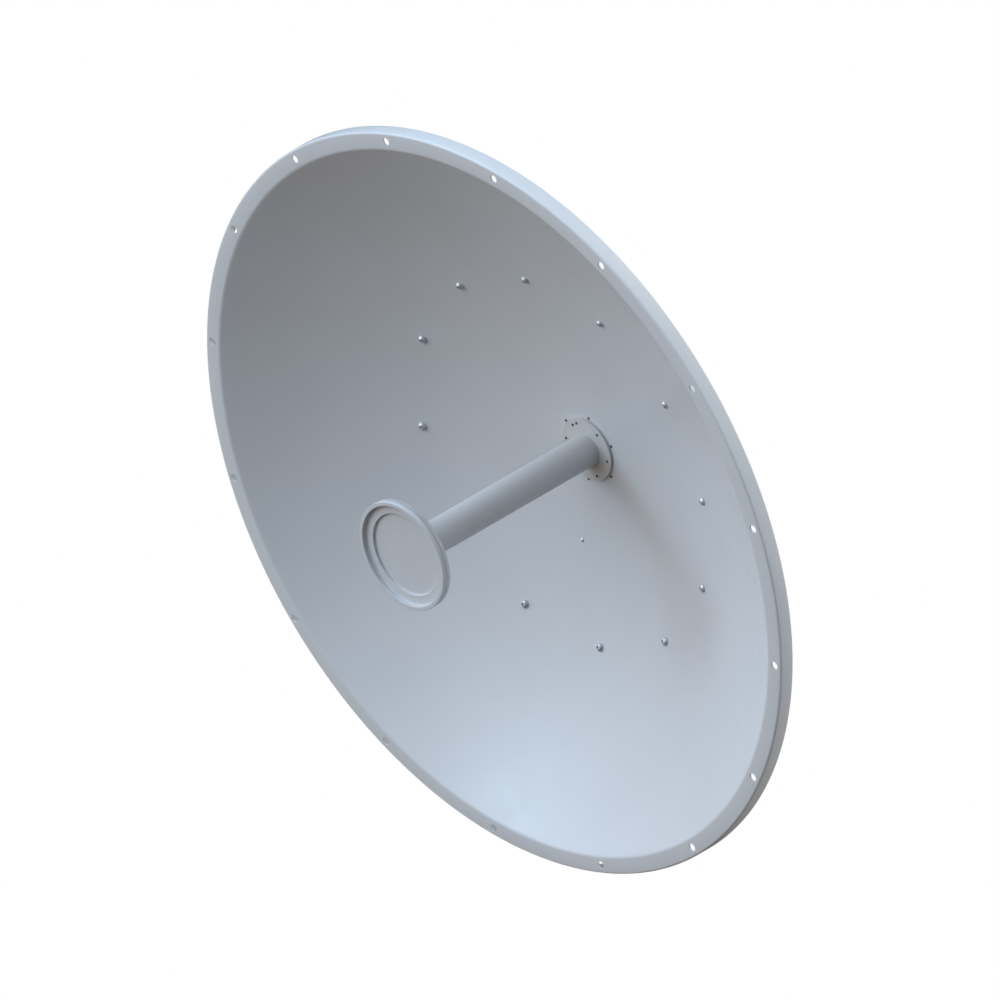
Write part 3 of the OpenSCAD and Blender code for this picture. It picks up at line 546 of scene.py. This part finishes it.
def measure(points, axis):
    """Place, flats, head height, bore or shank radius and shank length of a hexagon fastener."""
    axis = np.array(axis, float)
    along = points @ axis
    flat = points - np.outer(along, axis)
    centre = (flat.max(axis=0) + flat.min(axis=0)) / 2
    radial = flat - centre
    reach = np.linalg.norm(radial, axis=1)
    corner = radial[reach.argmax()]
    wide = along[reach > HEAD_REACH * reach.max()]
    low, high = wide.min(), wide.max()
    below, above = low - along.min(), along.max() - high
    seat, up = (low, axis) if below >= above else (high, -axis)
    slim = reach[reach < SHANK_REACH * reach.max()]
    x = corner / np.linalg.norm(corner)
    y = np.cross(up, x)
    origin = centre + seat * axis
    matrix = Matrix([[x[i], y[i], up[i], origin[i]] for i in range(3)] + [[0, 0, 0, 1]])
    flats = 2 * reach.max() * math.cos(math.pi / 6)
    return matrix, flats, high - low, slim.max() if len(slim) else 0, max(below, above)


# ---- Material helpers ----


class Nodes:
    """Short calls for building one material's node tree."""

    def __init__(self, name):
        """An empty material with its surface and output."""
        self.material = bpy.data.materials.new(name)
        self.material.use_nodes = True
        self.tree = self.material.node_tree
        self.tree.nodes.clear()
        self.output = self.add("ShaderNodeOutputMaterial")
        self.surface = self.add("ShaderNodeBsdfPrincipled")
        self.link(self.surface.outputs[0], self.output.inputs[0])
        self.place = self.add("ShaderNodeTexCoord").outputs["Object"]

    def add(self, kind, **settings):
        """A new node with these settings."""
        node = self.tree.nodes.new(kind)
        for key, value in settings.items():
            setattr(node, key, value)
        return node

    def link(self, source, target):
        """Joins an output to an input."""
        self.tree.links.new(source, target)

    def noise(self, per_metre, detail=4, roughness=0.5):
        """Soft noise with this many waves to the metre."""
        node = self.add("ShaderNodeTexNoise")
        self.link(self.place, node.inputs["Vector"])
        node.inputs["Scale"].default_value = per_metre
        node.inputs["Detail"].default_value = detail
        node.inputs["Roughness"].default_value = roughness
        return node.outputs["Fac"]

    def cells(self, per_metre):
        """Crystal-like cells, each with a colour of its own."""
        node = self.add("ShaderNodeTexVoronoi")
        self.link(self.place, node.inputs["Vector"])
        node.inputs["Scale"].default_value = per_metre
        return node.outputs["Color"]

    def remap(self, value, low, high, source_low=0.35, source_high=0.65):
        """The value, spread from low to high; the source limits suit noise."""
        node = self.add("ShaderNodeMapRange")
        self.link(value, node.inputs["Value"])
        node.inputs["From Min"].default_value = source_low
        node.inputs["From Max"].default_value = source_high
        node.inputs["To Min"].default_value = low
        node.inputs["To Max"].default_value = high
        return node.outputs["Result"]

    def mix(self, value, first, second):
        """A blend of two colours or outputs by the value."""
        node = self.add("ShaderNodeMix", data_type="RGBA")
        self.link(value, node.inputs["Factor"])
        for key, colour in (("A", first), ("B", second)):
            socket = [s for s in node.inputs if s.name == key and s.type == "RGBA"][0]
            if isinstance(colour, (tuple, list)):
                socket.default_value = (*colour, 1)
            else:
                self.link(colour, socket)
        return [s for s in node.outputs if s.type == "RGBA"][0]

    def worn(self, colour, bright):
        """The colour, rubbed brighter along outside edges, in an uneven way."""
        point = self.add("ShaderNodeNewGeometry").outputs["Pointiness"]
        edge = self.remap(point, 0, 0.7, 0.51, 0.58)
        patchy = self.add("ShaderNodeMath", operation="MULTIPLY")
        self.link(edge, patchy.inputs[0])
        self.link(self.remap(self.noise(180, 4), 0.3, 1), patchy.inputs[1])
        return self.mix(patchy.outputs[0], colour, bright)

    def bump(self, value, depth, normal=None):
        """A relief of this depth, laid over another normal if one is given."""
        node = self.add("ShaderNodeBump")
        self.link(value, node.inputs["Height"])
        node.inputs["Distance"].default_value = depth
        if normal is not None:
            self.link(normal, node.inputs["Normal"])
        return node.outputs["Normal"]

    def set(self, name, value):
        """Sets an input of the surface to a number, a colour or an output."""
        socket = self.surface.inputs[name]
        if isinstance(value, (int, float)):
            socket.default_value = value
        elif isinstance(value, (tuple, list)):
            socket.default_value = (*value, 1)
        else:
            self.link(value, socket)


def powder_coat(name, colour, shadow, roughness):
    """Powder coat: fine orange peel and a slight drift of tone."""
    n = Nodes(name)
    n.set("Base Color", n.mix(n.remap(n.noise(9, 3), 0, 1), colour, shadow))
    n.set("Roughness", n.remap(n.noise(60, 5), roughness - 0.04, roughness + 0.05))
    n.set("Specular IOR Level", 0.45)
    peel = n.bump(n.noise(650, 2), 0.06 * MM)
    n.set("Normal", n.bump(n.noise(2600, 3), 0.02 * MM, peel))
    return n.material


def galvanised(name, colour, dark, spangle, roughness):
    """Zinc on steel: crystal spangle in tone, gloss and a trace of relief."""
    n = Nodes(name)
    cells = n.cells(spangle)
    grain = n.noise(spangle * 6, 5, 0.6)
    split = n.add("ShaderNodeSeparateColor")
    n.link(cells, split.inputs[0])
    tone = n.mix(n.remap(split.outputs[0], 0, 1, 0, 1), colour, dark)
    n.set("Base Color", n.worn(n.mix(n.remap(grain, 0, 0.5), tone, dark), (0.74, 0.75, 0.76)))
    n.set("Metallic", 0.85)
    n.set("Roughness", n.remap(split.outputs[1], roughness - 0.08, roughness + 0.10, 0, 1))
    n.set("Normal", n.bump(grain, 0.05 * MM, n.bump(split.outputs[2], 0.03 * MM)))
    return n.material


def plated(name, colour, dark, roughness, metallic=0.95):
    """Plated fasteners: fine turning marks and a faint stain."""
    n = Nodes(name)
    stain = n.mix(n.remap(n.noise(220, 5, 0.6), 0, 1), colour, dark)
    n.set("Base Color", n.worn(stain, tuple(min(0.9, 1.2 * c) for c in colour)))
    n.set("Metallic", metallic)
    n.set("Roughness", n.remap(n.noise(700, 4), roughness - 0.06, roughness + 0.10))
    n.set("Normal", n.bump(n.noise(1800, 4), 0.02 * MM))
    return n.material


def cast(name, colour, dark, roughness):
    """Die-cast alloy: a sandy skin with soft flow marks."""
    n = Nodes(name)
    skin = n.mix(n.remap(n.noise(45, 5, 0.6), 0, 1), colour, dark)
    n.set("Base Color", n.worn(skin, (0.76, 0.76, 0.76)))
    n.set("Metallic", 0.75)
    n.set("Roughness", n.remap(n.noise(400, 5), roughness - 0.05, roughness + 0.10))
    flow = n.bump(n.noise(120, 3), 0.15 * MM)
    n.set("Normal", n.bump(n.noise(1400, 5, 0.7), 0.10 * MM, flow))
    return n.material


def plastic(name, colour, dark, roughness):
    """Moulded plastic or rubber: a fine even grain."""
    n = Nodes(name)
    n.set("Base Color", n.mix(n.remap(n.noise(60, 4), 0, 1), colour, dark))
    n.set("Roughness", n.remap(n.noise(300, 4), roughness - 0.05, roughness + 0.07))
    n.set("Normal", n.bump(n.noise(1500, 3), 0.03 * MM))
    return n.material


COAT = powder_coat("dish_coat", (0.60, 0.63, 0.67), (0.585, 0.615, 0.655), 0.32)
# The dish paint, made darker and greyer for the feed tube and its flange: painted shade
TUBE_COAT_SHADED = powder_coat("tube_coat_shaded", (0.56, 0.565, 0.575), (0.545, 0.55, 0.56), 0.40)
COVER = plastic("cover_plastic", (0.565, 0.595, 0.635), (0.55, 0.58, 0.62), 0.42)
STEEL = galvanised("zinc_steel", (0.62, 0.64, 0.66), (0.50, 0.52, 0.545), 150, 0.46)
BOLT = plated("plated_bolt", (0.62, 0.62, 0.62), (0.50, 0.49, 0.46), 0.36)
SCREW = plated("pale_screw", (0.62, 0.64, 0.67), (0.55, 0.57, 0.60), 0.30, 0.55)
ALLOY = cast("cast_alloy", (0.62, 0.63, 0.64), (0.54, 0.55, 0.56), 0.48)
# Black oxide for the clips. On the hub's screws and index pin the black also stands in for the shade
# inside holes: painted shade
BLACK_AND_HOLE_SHADE = plated("black_oxide", (0.06, 0.062, 0.07), (0.045, 0.047, 0.052), 0.6, 0.3)
SEAL = plastic("pale_seal", (0.20, 0.205, 0.215), (0.17, 0.175, 0.185), 0.7)
RUBBER = plastic("seal_rubber", (0.035, 0.035, 0.038), (0.025, 0.025, 0.027), 0.75)
PTFE = plastic("ptfe", (0.80, 0.80, 0.78), (0.76, 0.76, 0.73), 0.38)
BRONZE = plated("bronze", (0.52, 0.36, 0.19), (0.40, 0.27, 0.14), 0.38)
BRASS = plated("plated_brass", (0.66, 0.60, 0.44), (0.55, 0.49, 0.34), 0.30)


# ---- The reflector ----


def reflector_outline():
    """Section through the spun sheet, from the centre hole out, round the rim and back."""
    land = sag(LAND_R)
    bowl_r, bowl_end_r = LAND_R + LAND_ROUND, APERTURE_R - CREASE
    flange = (APERTURE_R + CREASE, DEPTH)
    corner = (RIM_R - RIM_ROUND, DEPTH - RIM_ROUND)
    edge = SHEET / 2
    front = [(CENTRE_HOLE_R, land), (LAND_R - LAND_ROUND, land)]
    front += curve(front[-1], (LAND_R, land), (bowl_r, sag(bowl_r)), 2)
    front += [(r, sag(r)) for r in np.linspace(bowl_r, bowl_end_r, FRONT_POINTS)]
    front += curve(front[-1], (APERTURE_R, DEPTH), flange, 4)
    front += [flange]
    front += arc(corner, RIM_ROUND, 90, 0, 6)
    front += arc((RIM_R - edge, DEPTH - SKIRT + edge), edge, 0, -180, 6)
    back = arc(corner, RIM_ROUND - SHEET, 0, 90, 3)
    back += [(APERTURE_R + CREASE, DEPTH - SHEET)]
    for r in np.linspace(bowl_end_r, LAND_R + LAND_BACK_ROUND, BACK_POINTS):
        a = slope(r)
        back.append((r + SHEET * math.sin(a), sag(r) - SHEET * math.cos(a)))
    back += [(LAND_R - LAND_BACK_ROUND, land - SHEET), (CENTRE_HOLE_R, land - SHEET)]
    return front + back


def on_axis(radius, degrees, height=0.0):
    """A place in the dish frame, facing forward."""
    turn = Matrix.Rotation(math.radians(degrees), 4, "Z")
    return DISH @ turn @ Matrix.Translation((radius, 0, height))


def on_surface(radius, degrees):
    """A place on the reflector's front, facing along its normal."""
    return on_axis(radius, degrees, sag(radius)) @ Matrix.Rotation(-slope(radius), 4, "Y")


def build_reflector():
    """The painted sheet with all its holes."""
    dish = lathe("reflector_shell", reflector_outline(), DISH_SIDES)
    rim_hole_circle = (RIM_R + APERTURE_R) / 2
    holes = [(on_axis(rim_hole_circle, a, DEPTH), RIM_HOLE_R) for a in around(RIM_HOLES)]
    holes += [(on_surface(SCREW_CIRCLE_R, a), SCREW_HOLE_R) for a in around(SCREW_COUNT, SCREW_START)]
    holes += [(on_axis(FEED_SCREW_R, a), SMALL_HOLE_R) for a in around(SMALL_SCREW_COUNT)]
    holes += [(on_axis(HUB_SCREW_R, a), SMALL_HOLE_R) for a in around(SMALL_SCREW_COUNT, HUB_SCREW_START)]
    holes += [(on_axis(INDEX_PIN_R, INDEX_PIN_ANGLE), SMALL_HEAD_R + INDEX_PIN_PLAY)]
    holes += [(on_surface(RIVET_R, RIVET_ANGLE), RIVET_HOLE_R)]
    drill(dish, holes)
    shade(dish, DISH_CRISP)
    place(dish, "antenna", "dish_coat", COAT, "reflector")


def build_reflector_screws():
    """Dome screws through the sheet and the ring, with their nuts behind."""
    lift = Matrix.Translation((0, 0, HEAD_LIFT))
    behind = Matrix.Translation((0, 0, -(SHEET + RING_SHEET + SCREW_NUT_H + SCREW_NUT_GAP)))
    screws, nuts = bmesh.new(), bmesh.new()
    for angle in around(SCREW_COUNT, SCREW_START):
        seat = on_surface(SCREW_CIRCLE_R, angle)
        add_dome_screw(screws, seat @ lift)
        add_nut(nuts, seat @ behind, SCREW_NUT_FLATS, SCREW_NUT_H, SCREW_NUT_BORE_R)
    screws = shade(new_object("dome_screws", screws), FASTENER_CRISP)
    nuts = shade(new_object("dome_screw_nuts", nuts), FASTENER_CRISP)
    place(screws, "antenna", "zinc_steel", SCREW, "reflector_screws")
    place(nuts, "antenna", "zinc_steel", BOLT, "reflector_nuts")


# ---- The feed ----


def build_cover():
    """The subreflector's cover: a lip, a recess and a second shallow recess."""
    floor = COVER_FRONT - FLOOR_DROP
    centre = floor - STEP_DROP
    edge, fillet = COVER_EDGE, COVER_FILLET
    band_r = COVER_R - BAND_WALL
    outline = [(0, centre)]
    outline += arc((STEP_R - fillet / 2, centre + fillet / 2), fillet / 2, 270, 360, 5)
    outline += arc((STEP_R + edge, floor - edge), edge, 180, 90, 5)
    outline += arc((LIP_R - fillet, floor + fillet), fillet, 270, 360, 7)
    outline += arc((LIP_R + edge, COVER_FRONT - edge), edge, 180, 90, 6)
    outline += arc((COVER_R - edge, COVER_FRONT - edge), edge, 90, 0, 6)
    outline += [(COVER_R, COVER_REAR + COVER_REAR_EDGE), (COVER_R - COVER_REAR_EDGE, COVER_REAR)]
    outline += [(band_r, COVER_REAR), (band_r, floor - COVER_WALL)]
    outline += [(STEP_R + STEP_BACK_OUT, floor - COVER_WALL), (STEP_R - STEP_BACK_IN, centre - COVER_WALL)]
    outline += [(0, centre - COVER_WALL)]
    cover = even(shade(lathe("cover_shell", outline, COVER_SIDES), ROUNDED_CRISP))
    place(cover, "antenna", "cover_plastic", COVER, "subreflector_cover")


def build_tube():
    """The feed tube, with both its ends broken."""
    edge = TUBE_EDGE
    outline = [(TUBE_BORE_R, TUBE_REAR), (TUBE_R - edge, TUBE_REAR), (TUBE_R, TUBE_REAR + edge)]
    outline += [(TUBE_R, TUBE_FRONT - edge), (TUBE_R - edge, TUBE_FRONT), (TUBE_BORE_R, TUBE_FRONT)]
    tube = even(shade(lathe("feed_tube_shell", outline, TUBE_SIDES), ROUNDED_CRISP))
    # The tube's paint is the darker copy of the dish paint: painted shade
    place(tube, "antenna", "dish_coat", TUBE_COAT_SHADED, "feed_tube")


def build_small_screws():
    """Screws and the index pin on the hub, whose black heads are painted shade: the dark dots of holes."""
    land = sag(LAND_R)
    flange_front = land + GASKET + FLANGE_SHEET
    feed, hub, pin = bmesh.new(), bmesh.new(), bmesh.new()
    for angle in around(SMALL_SCREW_COUNT):
        add_small_screw(feed, on_axis(FEED_SCREW_R, angle, flange_front), FEED_SCREW_LEN)
    for angle in around(SMALL_SCREW_COUNT, HUB_SCREW_START):
        add_small_screw(hub, on_axis(HUB_SCREW_R, angle, land), HUB_SCREW_LEN)
    rings = [circle(SMALL_HEAD_R, HUB_REAR), circle(SMALL_HEAD_R, flange_front + INDEX_PIN_EDGE)]
    rings += [circle(0.8 * SMALL_HEAD_R, flange_front + INDEX_PIN_BEVEL)]
    rings += [circle(0.4 * SMALL_HEAD_R, flange_front + INDEX_PIN_UP)]
    stack(pin, rings, on_axis(INDEX_PIN_R, INDEX_PIN_ANGLE))
    # The black heads give dark dots where the hub has holes: painted shade
    for name, bm in (("feed_screws", feed), ("hub_screws", hub), ("index_pin", pin)):
        screws = shade(new_object(name + "_finished", bm), FASTENER_CRISP)
        place(screws, "antenna", "black_screws", BLACK_AND_HOLE_SHADE, name)


def build_connector(port, node):
    """A coaxial socket: square flange, threaded sleeve and a hollow for the centre contact."""
    side = Matrix.Translation((0, 0, PORT_BACK[port])) @ Matrix.Rotation(-math.pi / 2 * port, 4, "Z")
    frame_at = DISH @ side @ Matrix.Translation((PAD, 0, 0)) @ Matrix.Rotation(math.pi / 2, 4, "Y")
    bm = bmesh.new()
    middle = Matrix.Translation((0, 0, PORT_GASKET + PORT_FLANGE_T / 2))
    sizes = Matrix.Diagonal((PORT_FLANGE, PORT_FLANGE, PORT_FLANGE_T, 1))
    bmesh.ops.create_cube(bm, size=1, matrix=frame_at @ middle @ sizes)
    bmesh.ops.bevel(bm, geom=bm.edges[:], offset=PORT_EDGE, segments=2, affect="EDGES", profile=0.6)
    tip = PORT_GASKET + PORT_LEN
    base = PORT_GASKET + PORT_FLANGE_T + PORT_EDGE
    rings = [circle(PORT_R - PORT_ROOT, -base + PORT_ROOT)] + thread(PORT_R, PORT_PITCH, -base, -tip)
    rings += [circle(PORT_SOCKET_R + PORT_EDGE, -tip), circle(PORT_SOCKET_R, PORT_EDGE - tip)]
    rings += [circle(PORT_SOCKET_R, -PORT_GASKET - PORT_SOCKET_Z)]
    stack(bm, rings, frame_at @ Matrix.Rotation(math.pi, 4, "X"))
    socket = shade(new_object(node + "_finished", bm), FASTENER_CRISP)
    place(socket, "antenna", "plated_brass", BRASS, node)


# ---- The mount ----

# Hexagon bolts and nuts: node, axis, and the threaded length and pitch in mm, or None for a nut
ALONG_X = (1, 0, 0)
ALONG_Y = (0, 1, 0)
HEX_FASTENERS = {
    "spine_bolts": (ALONG_Y, (17, 1.25)),
    "spine_nuts": (ALONG_Y, None),
    "ear_bolts": (ALONG_X, (15, 1.25)),
    "ear_nuts": (ALONG_X, None),
    "lock_bolts": (ALONG_X, (22, 1.5)),
    "radio_bracket_bolts": (ALONG_Y, (15, 1.25)),
    "radio_bracket_nuts": (ALONG_Y, None),
    "pivot_bolt": (ALONG_X, (38, 2)),
    "pivot_nut": (ALONG_X, None),
    "clamp_bolts": (ALONG_Y, (34, 1.5)),
    "clamp_nuts": (ALONG_Y, None),
    "adjuster_front_nut": (ALONG_Y, None),
    "adjuster_rear_nut": (ALONG_Y, None),
    "collar_bolts": (ALONG_Y, (22, 1.25)),
    "collar_nuts": (ALONG_Y, None),
}


def body_of(node):
    """The rigid body that a CAD node belongs to."""
    bodies = frame["record"]["behaviour"]["bodies"]
    return next(body for body, members in bodies.items() if node in members)


def build_hex_fasteners(node, axis, threading):
    """Rebuilds every bolt or nut of a CAD node at its measured place and size."""
    bm = bmesh.new()
    for points in solids(node):
        matrix, flats, height, radius, length = measure(points, axis)
        if threading:
            threaded, pitch = threading
            add_bolt(bm, matrix, flats, height, radius, length, threaded * MM, pitch * MM)
        else:
            add_nut(bm, matrix, flats, height, radius)
    obj = shade(new_object(node + "_finished", bm), FASTENER_CRISP)
    place(obj, body_of(node), "zinc_steel", BOLT, node)


def build_adjuster_rod():
    """A threaded rod with a forged eye, which is the front end of the CAD node."""
    low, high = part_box("adjuster_rod")
    eye = Vector(((low.x + high.x) / 2, low.y + EYE_R, (low.z + high.z) / 2))
    bm = bmesh.new()
    edge = EYE_EDGE
    rings = [circle(PIN_BORE_R + edge, -EYE_HALF_W), circle(EYE_R - edge, -EYE_HALF_W)]
    rings += [circle(EYE_R, edge - EYE_HALF_W), circle(EYE_R, EYE_HALF_W - edge)]
    rings += [circle(EYE_R - edge, EYE_HALF_W), circle(PIN_BORE_R + edge, EYE_HALF_W)]
    rings += [circle(PIN_BORE_R, EYE_HALF_W - edge), circle(PIN_BORE_R, edge - EYE_HALF_W)]
    stack(bm, rings, Matrix.Translation(eye) @ Matrix.Rotation(math.pi / 2, 4, "Y"), closed=True)
    length = high.y - eye.y
    rings = [circle(ROD_R, -EYE_R + ROD_ROOT), circle(ROD_R, -EYE_R - ROD_NECK)]
    rings += thread(ROD_R, ROD_PITCH, -EYE_R - ROD_THREAD_START, -length)
    stack(bm, rings, Matrix.Translation(eye) @ Matrix.Rotation(math.pi / 2, 4, "X"))
    rod = shade(new_object("adjuster_rod_finished", bm), FASTENER_CRISP)
    place(rod, "adjuster_rod", "zinc_steel", BOLT, "adjuster_rod")


def build_welds():
    """Beads along the joints of the bracket's side plates and lug with its back plate."""
    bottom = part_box("pole_bracket")[0].z + WELD_BELOW
    plate_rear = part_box("clamp_saddles")[0].y
    plate_front = plate_rear - BRACKET_PLATE
    lug_low, lug_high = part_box("trunnion_clip")
    bm = bmesh.new()
    for x in SIDE_PLATE_FACES:
        add_weld(bm, (x, plate_front, bottom), (x, plate_front, WELD_TOP), WELD_R)
    lug_start, lug_end = (LUG_FACE, plate_rear, lug_low.z), (LUG_FACE, plate_rear, lug_high.z)
    add_weld(bm, lug_start, lug_end, WELD_R * LUG_WELD_SHARE)
    welds = shade(new_object("bracket_welds", bm), WELD_CRISP)
    place(welds, "pole_mount", "zinc_steel", STEEL)


# CAD nodes given rounded edges: node, edge radius in mm, material, slot
FINISHED = {
    "back_ring": (0.8, ALLOY, "cast_alloy"),
    "bonding_rivet": (0.15, SCREW, "cast_alloy"),
    # The flange takes the darker copy of the dish paint: painted shade
    "feed_flange": (0.3, TUBE_COAT_SHADED, "dish_coat"),
    "feed_gasket": (0.1, RUBBER, "seal_rubber"),
    "hub_plate": (0.5, ALLOY, "cast_alloy"),
    "omt_body": (0.8, ALLOY, "cast_alloy"),
    "omt_cover": (0.6, ALLOY, "cast_alloy"),
    "omt_cover_screws": (0.3, BOLT, "zinc_steel"),
    "connector_gaskets": (0.1, RUBBER, "seal_rubber"),
    "connector_screws": (0.3, BOLT, "zinc_steel"),
    "signal_probes": (0.2, BRASS, "plated_brass"),
    "subreflector": (0.4, ALLOY, "cast_alloy"),
    "dielectric_support": (0.4, PTFE, "ptfe"),
    "cover_seal": (0.05, SEAL, "seal_rubber"),
    "mount_spine": (0.9, STEEL, "zinc_steel"),
    "elevation_ears": (0.6, STEEL, "zinc_steel"),
    "elevation_bushes": (0.3, BRONZE, "bronze"),
    "lock_nuts": (0.5, BOLT, "zinc_steel"),
    "radio_bracket": (0.6, STEEL, "zinc_steel"),
    "ground_screw": (0.4, BRASS, "plated_brass"),
    "rod_pivot_pin": (0.5, BOLT, "zinc_steel"),
    "rod_pin_clip": (0.2, BLACK_AND_HOLE_SHADE, "black_screws"),
    "pole_bracket": (0.8, STEEL, "zinc_steel"),
    "pivot_spacer": (0.5, BOLT, "zinc_steel"),
    "clamp_saddles": (1.5, ALLOY, "cast_alloy"),
    "clamp_jaws": (1.5, ALLOY, "cast_alloy"),
    "adjuster_trunnion": (0.8, BOLT, "zinc_steel"),
    "trunnion_clip": (0.2, BLACK_AND_HOLE_SHADE, "black_screws"),
    "collar_front": (1.2, ALLOY, "cast_alloy"),
    "collar_rear": (1.2, ALLOY, "cast_alloy"),
    "thrust_ring": (0.4, PTFE, "ptfe"),
}

# ---- Floor, light and camera ----

WHITE = (1, 1, 1, 1)
FLOOR_BELOW = 1.6
FLOOR_SIZE = 40


def build_floor():
    """A plain floor well below the antenna: pure white to the camera, and out of the light's way."""
    bm = bmesh.new()
    bmesh.ops.create_grid(bm, x_segments=1, y_segments=1, size=FLOOR_SIZE)
    floor = new_object("floor", bm, Matrix.Translation((0, 0, cad_low.z - FLOOR_BELOW)))
    n = Nodes("floor")
    n.tree.nodes.remove(n.surface)
    clear = n.add("ShaderNodeBsdfTransparent")
    glow = n.add("ShaderNodeEmission")
    glow.inputs["Color"].default_value = WHITE
    path = n.add("ShaderNodeLightPath")
    side = n.add("ShaderNodeNewGeometry")
    front = n.add("ShaderNodeMath", operation="SUBTRACT")
    n.link(path.outputs["Is Camera Ray"], front.inputs[0])
    n.link(side.outputs["Backfacing"], front.inputs[1])
    mixed = n.add("ShaderNodeMixShader")
    n.link(front.outputs[0], mixed.inputs[0])
    n.link(clear.outputs[0], mixed.inputs[1])
    n.link(glow.outputs[0], mixed.inputs[2])
    n.link(mixed.outputs[0], n.output.inputs[0])
    floor.data.materials.append(n.material)


# Soft studio lights all round the object: direction, sharpness and colour
SOFT_LIGHTS = (
    ((-1, -1, 1), 3, (2.1, 2.2, 2.35)),
    ((1, 1, 1), 3, (1.3, 1.4, 1.5)),
    ((1, 1, -1), 3, (0.6, 0.55, 0.5)),
    ((-1, -1, -1), 3, (0.25, 0.12, 0.0)),
    ((-1, 0, 1), 24, (1.6, 3.0, 4.6)),
    ((0, 1, 1), 24, (2.2, 2.2, 1.8)),
    ((-1, -1.15, 0.5), 150, (6.0, 9.5, 12.0)),
)


def soft_light(add, link, ray, direction, sharpness, colour):
    """One light's colour along a ray: strongest at its middle and fading smoothly away from it."""
    facing = add("ShaderNodeVectorMath")
    facing.operation = "DOT_PRODUCT"
    facing.inputs[1].default_value = Vector(direction).normalized()
    link(ray, facing.inputs[0])
    value = facing.outputs["Value"]
    for operation, number in (("MAXIMUM", 0), ("POWER", sharpness)):
        step = add("ShaderNodeMath")
        step.operation = operation
        step.inputs[1].default_value = number
        link(value, step.inputs[0])
        value = step.outputs[0]
    tint = add("ShaderNodeVectorMath")
    tint.operation = "SCALE"
    tint.inputs[0].default_value = colour
    link(value, tint.inputs["Scale"])
    return tint.outputs[0]


def build_world():
    """The sum of the soft lights, where the camera itself sees white."""
    world = bpy.data.worlds.new("studio")
    bpy.context.scene.world = world
    world.use_nodes = True
    tree = world.node_tree
    tree.nodes.clear()
    add, link = tree.nodes.new, tree.links.new
    ray = add("ShaderNodeTexCoord").outputs["Generated"]
    total, *others = [soft_light(add, link, ray, *light) for light in SOFT_LIGHTS]
    for other in others:
        both = add("ShaderNodeVectorMath")
        link(total, both.inputs[0])
        link(other, both.inputs[1])
        total = both.outputs[0]
    light = add("ShaderNodeBackground")
    link(total, light.inputs[0])
    seen = add("ShaderNodeBackground")
    seen.inputs[0].default_value = WHITE
    mixed = add("ShaderNodeMixShader")
    link(add("ShaderNodeLightPath").outputs["Is Camera Ray"], mixed.inputs[0])
    link(light.outputs[0], mixed.inputs[1])
    link(seen.outputs[0], mixed.inputs[2])
    link(mixed.outputs[0], add("ShaderNodeOutputWorld").inputs[0])


# A picture element's width, and how many of them the view is aimed to the right of and above
# the rim's centre
PIXEL = 1.2915 * MM
FRAME_PIXELS = 1000
AIM_RIGHT = 6.5
AIM_UP = 3.5
AZIMUTH = math.radians(45)
ELEVATION = math.asin(1 / math.sqrt(3))
CAMERA_BACK = 3


def build_camera():
    """An orthographic isometric view, aimed a little right of and above the rim's centre."""
    data = bpy.data.cameras.new("camera")
    data.type = "ORTHO"
    data.ortho_scale = PIXEL * FRAME_PIXELS
    camera = bpy.data.objects.new("camera", data)
    bpy.context.scene.collection.objects.link(camera)
    back = Vector((
        math.sin(AZIMUTH) * math.cos(ELEVATION),
        -math.cos(AZIMUTH) * math.cos(ELEVATION),
        math.sin(ELEVATION),
    ))
    right = Vector((math.cos(AZIMUTH), math.sin(AZIMUTH), 0))
    up = back.cross(right)
    rim_centre = DISH @ Vector((0, 0, DEPTH))
    camera.location = rim_centre + right * AIM_RIGHT * PIXEL + up * AIM_UP * PIXEL
    camera.location += back * CAMERA_BACK
    camera.rotation_mode = "QUATERNION"
    camera.rotation_quaternion = (-back).to_track_quat("-Z", "Y")
    bpy.context.scene.camera = camera


# ---- Build ----

build_reflector()
build_reflector_screws()
build_cover()
build_tube()
build_small_screws()
build_connector(0, "rf_connector_horizontal")
build_connector(1, "rf_connector_vertical")
for node, (axis, threading) in HEX_FASTENERS.items():
    build_hex_fasteners(node, axis, threading)
build_adjuster_rod()
build_welds()
for node, (round_mm, material, slot) in FINISHED.items():
    place(refine(node, round_mm * MM), body_of(node), slot, material, node)

build_floor()
build_world()
build_camera()
bpy.context.scene.view_settings.view_transform = "Standard"
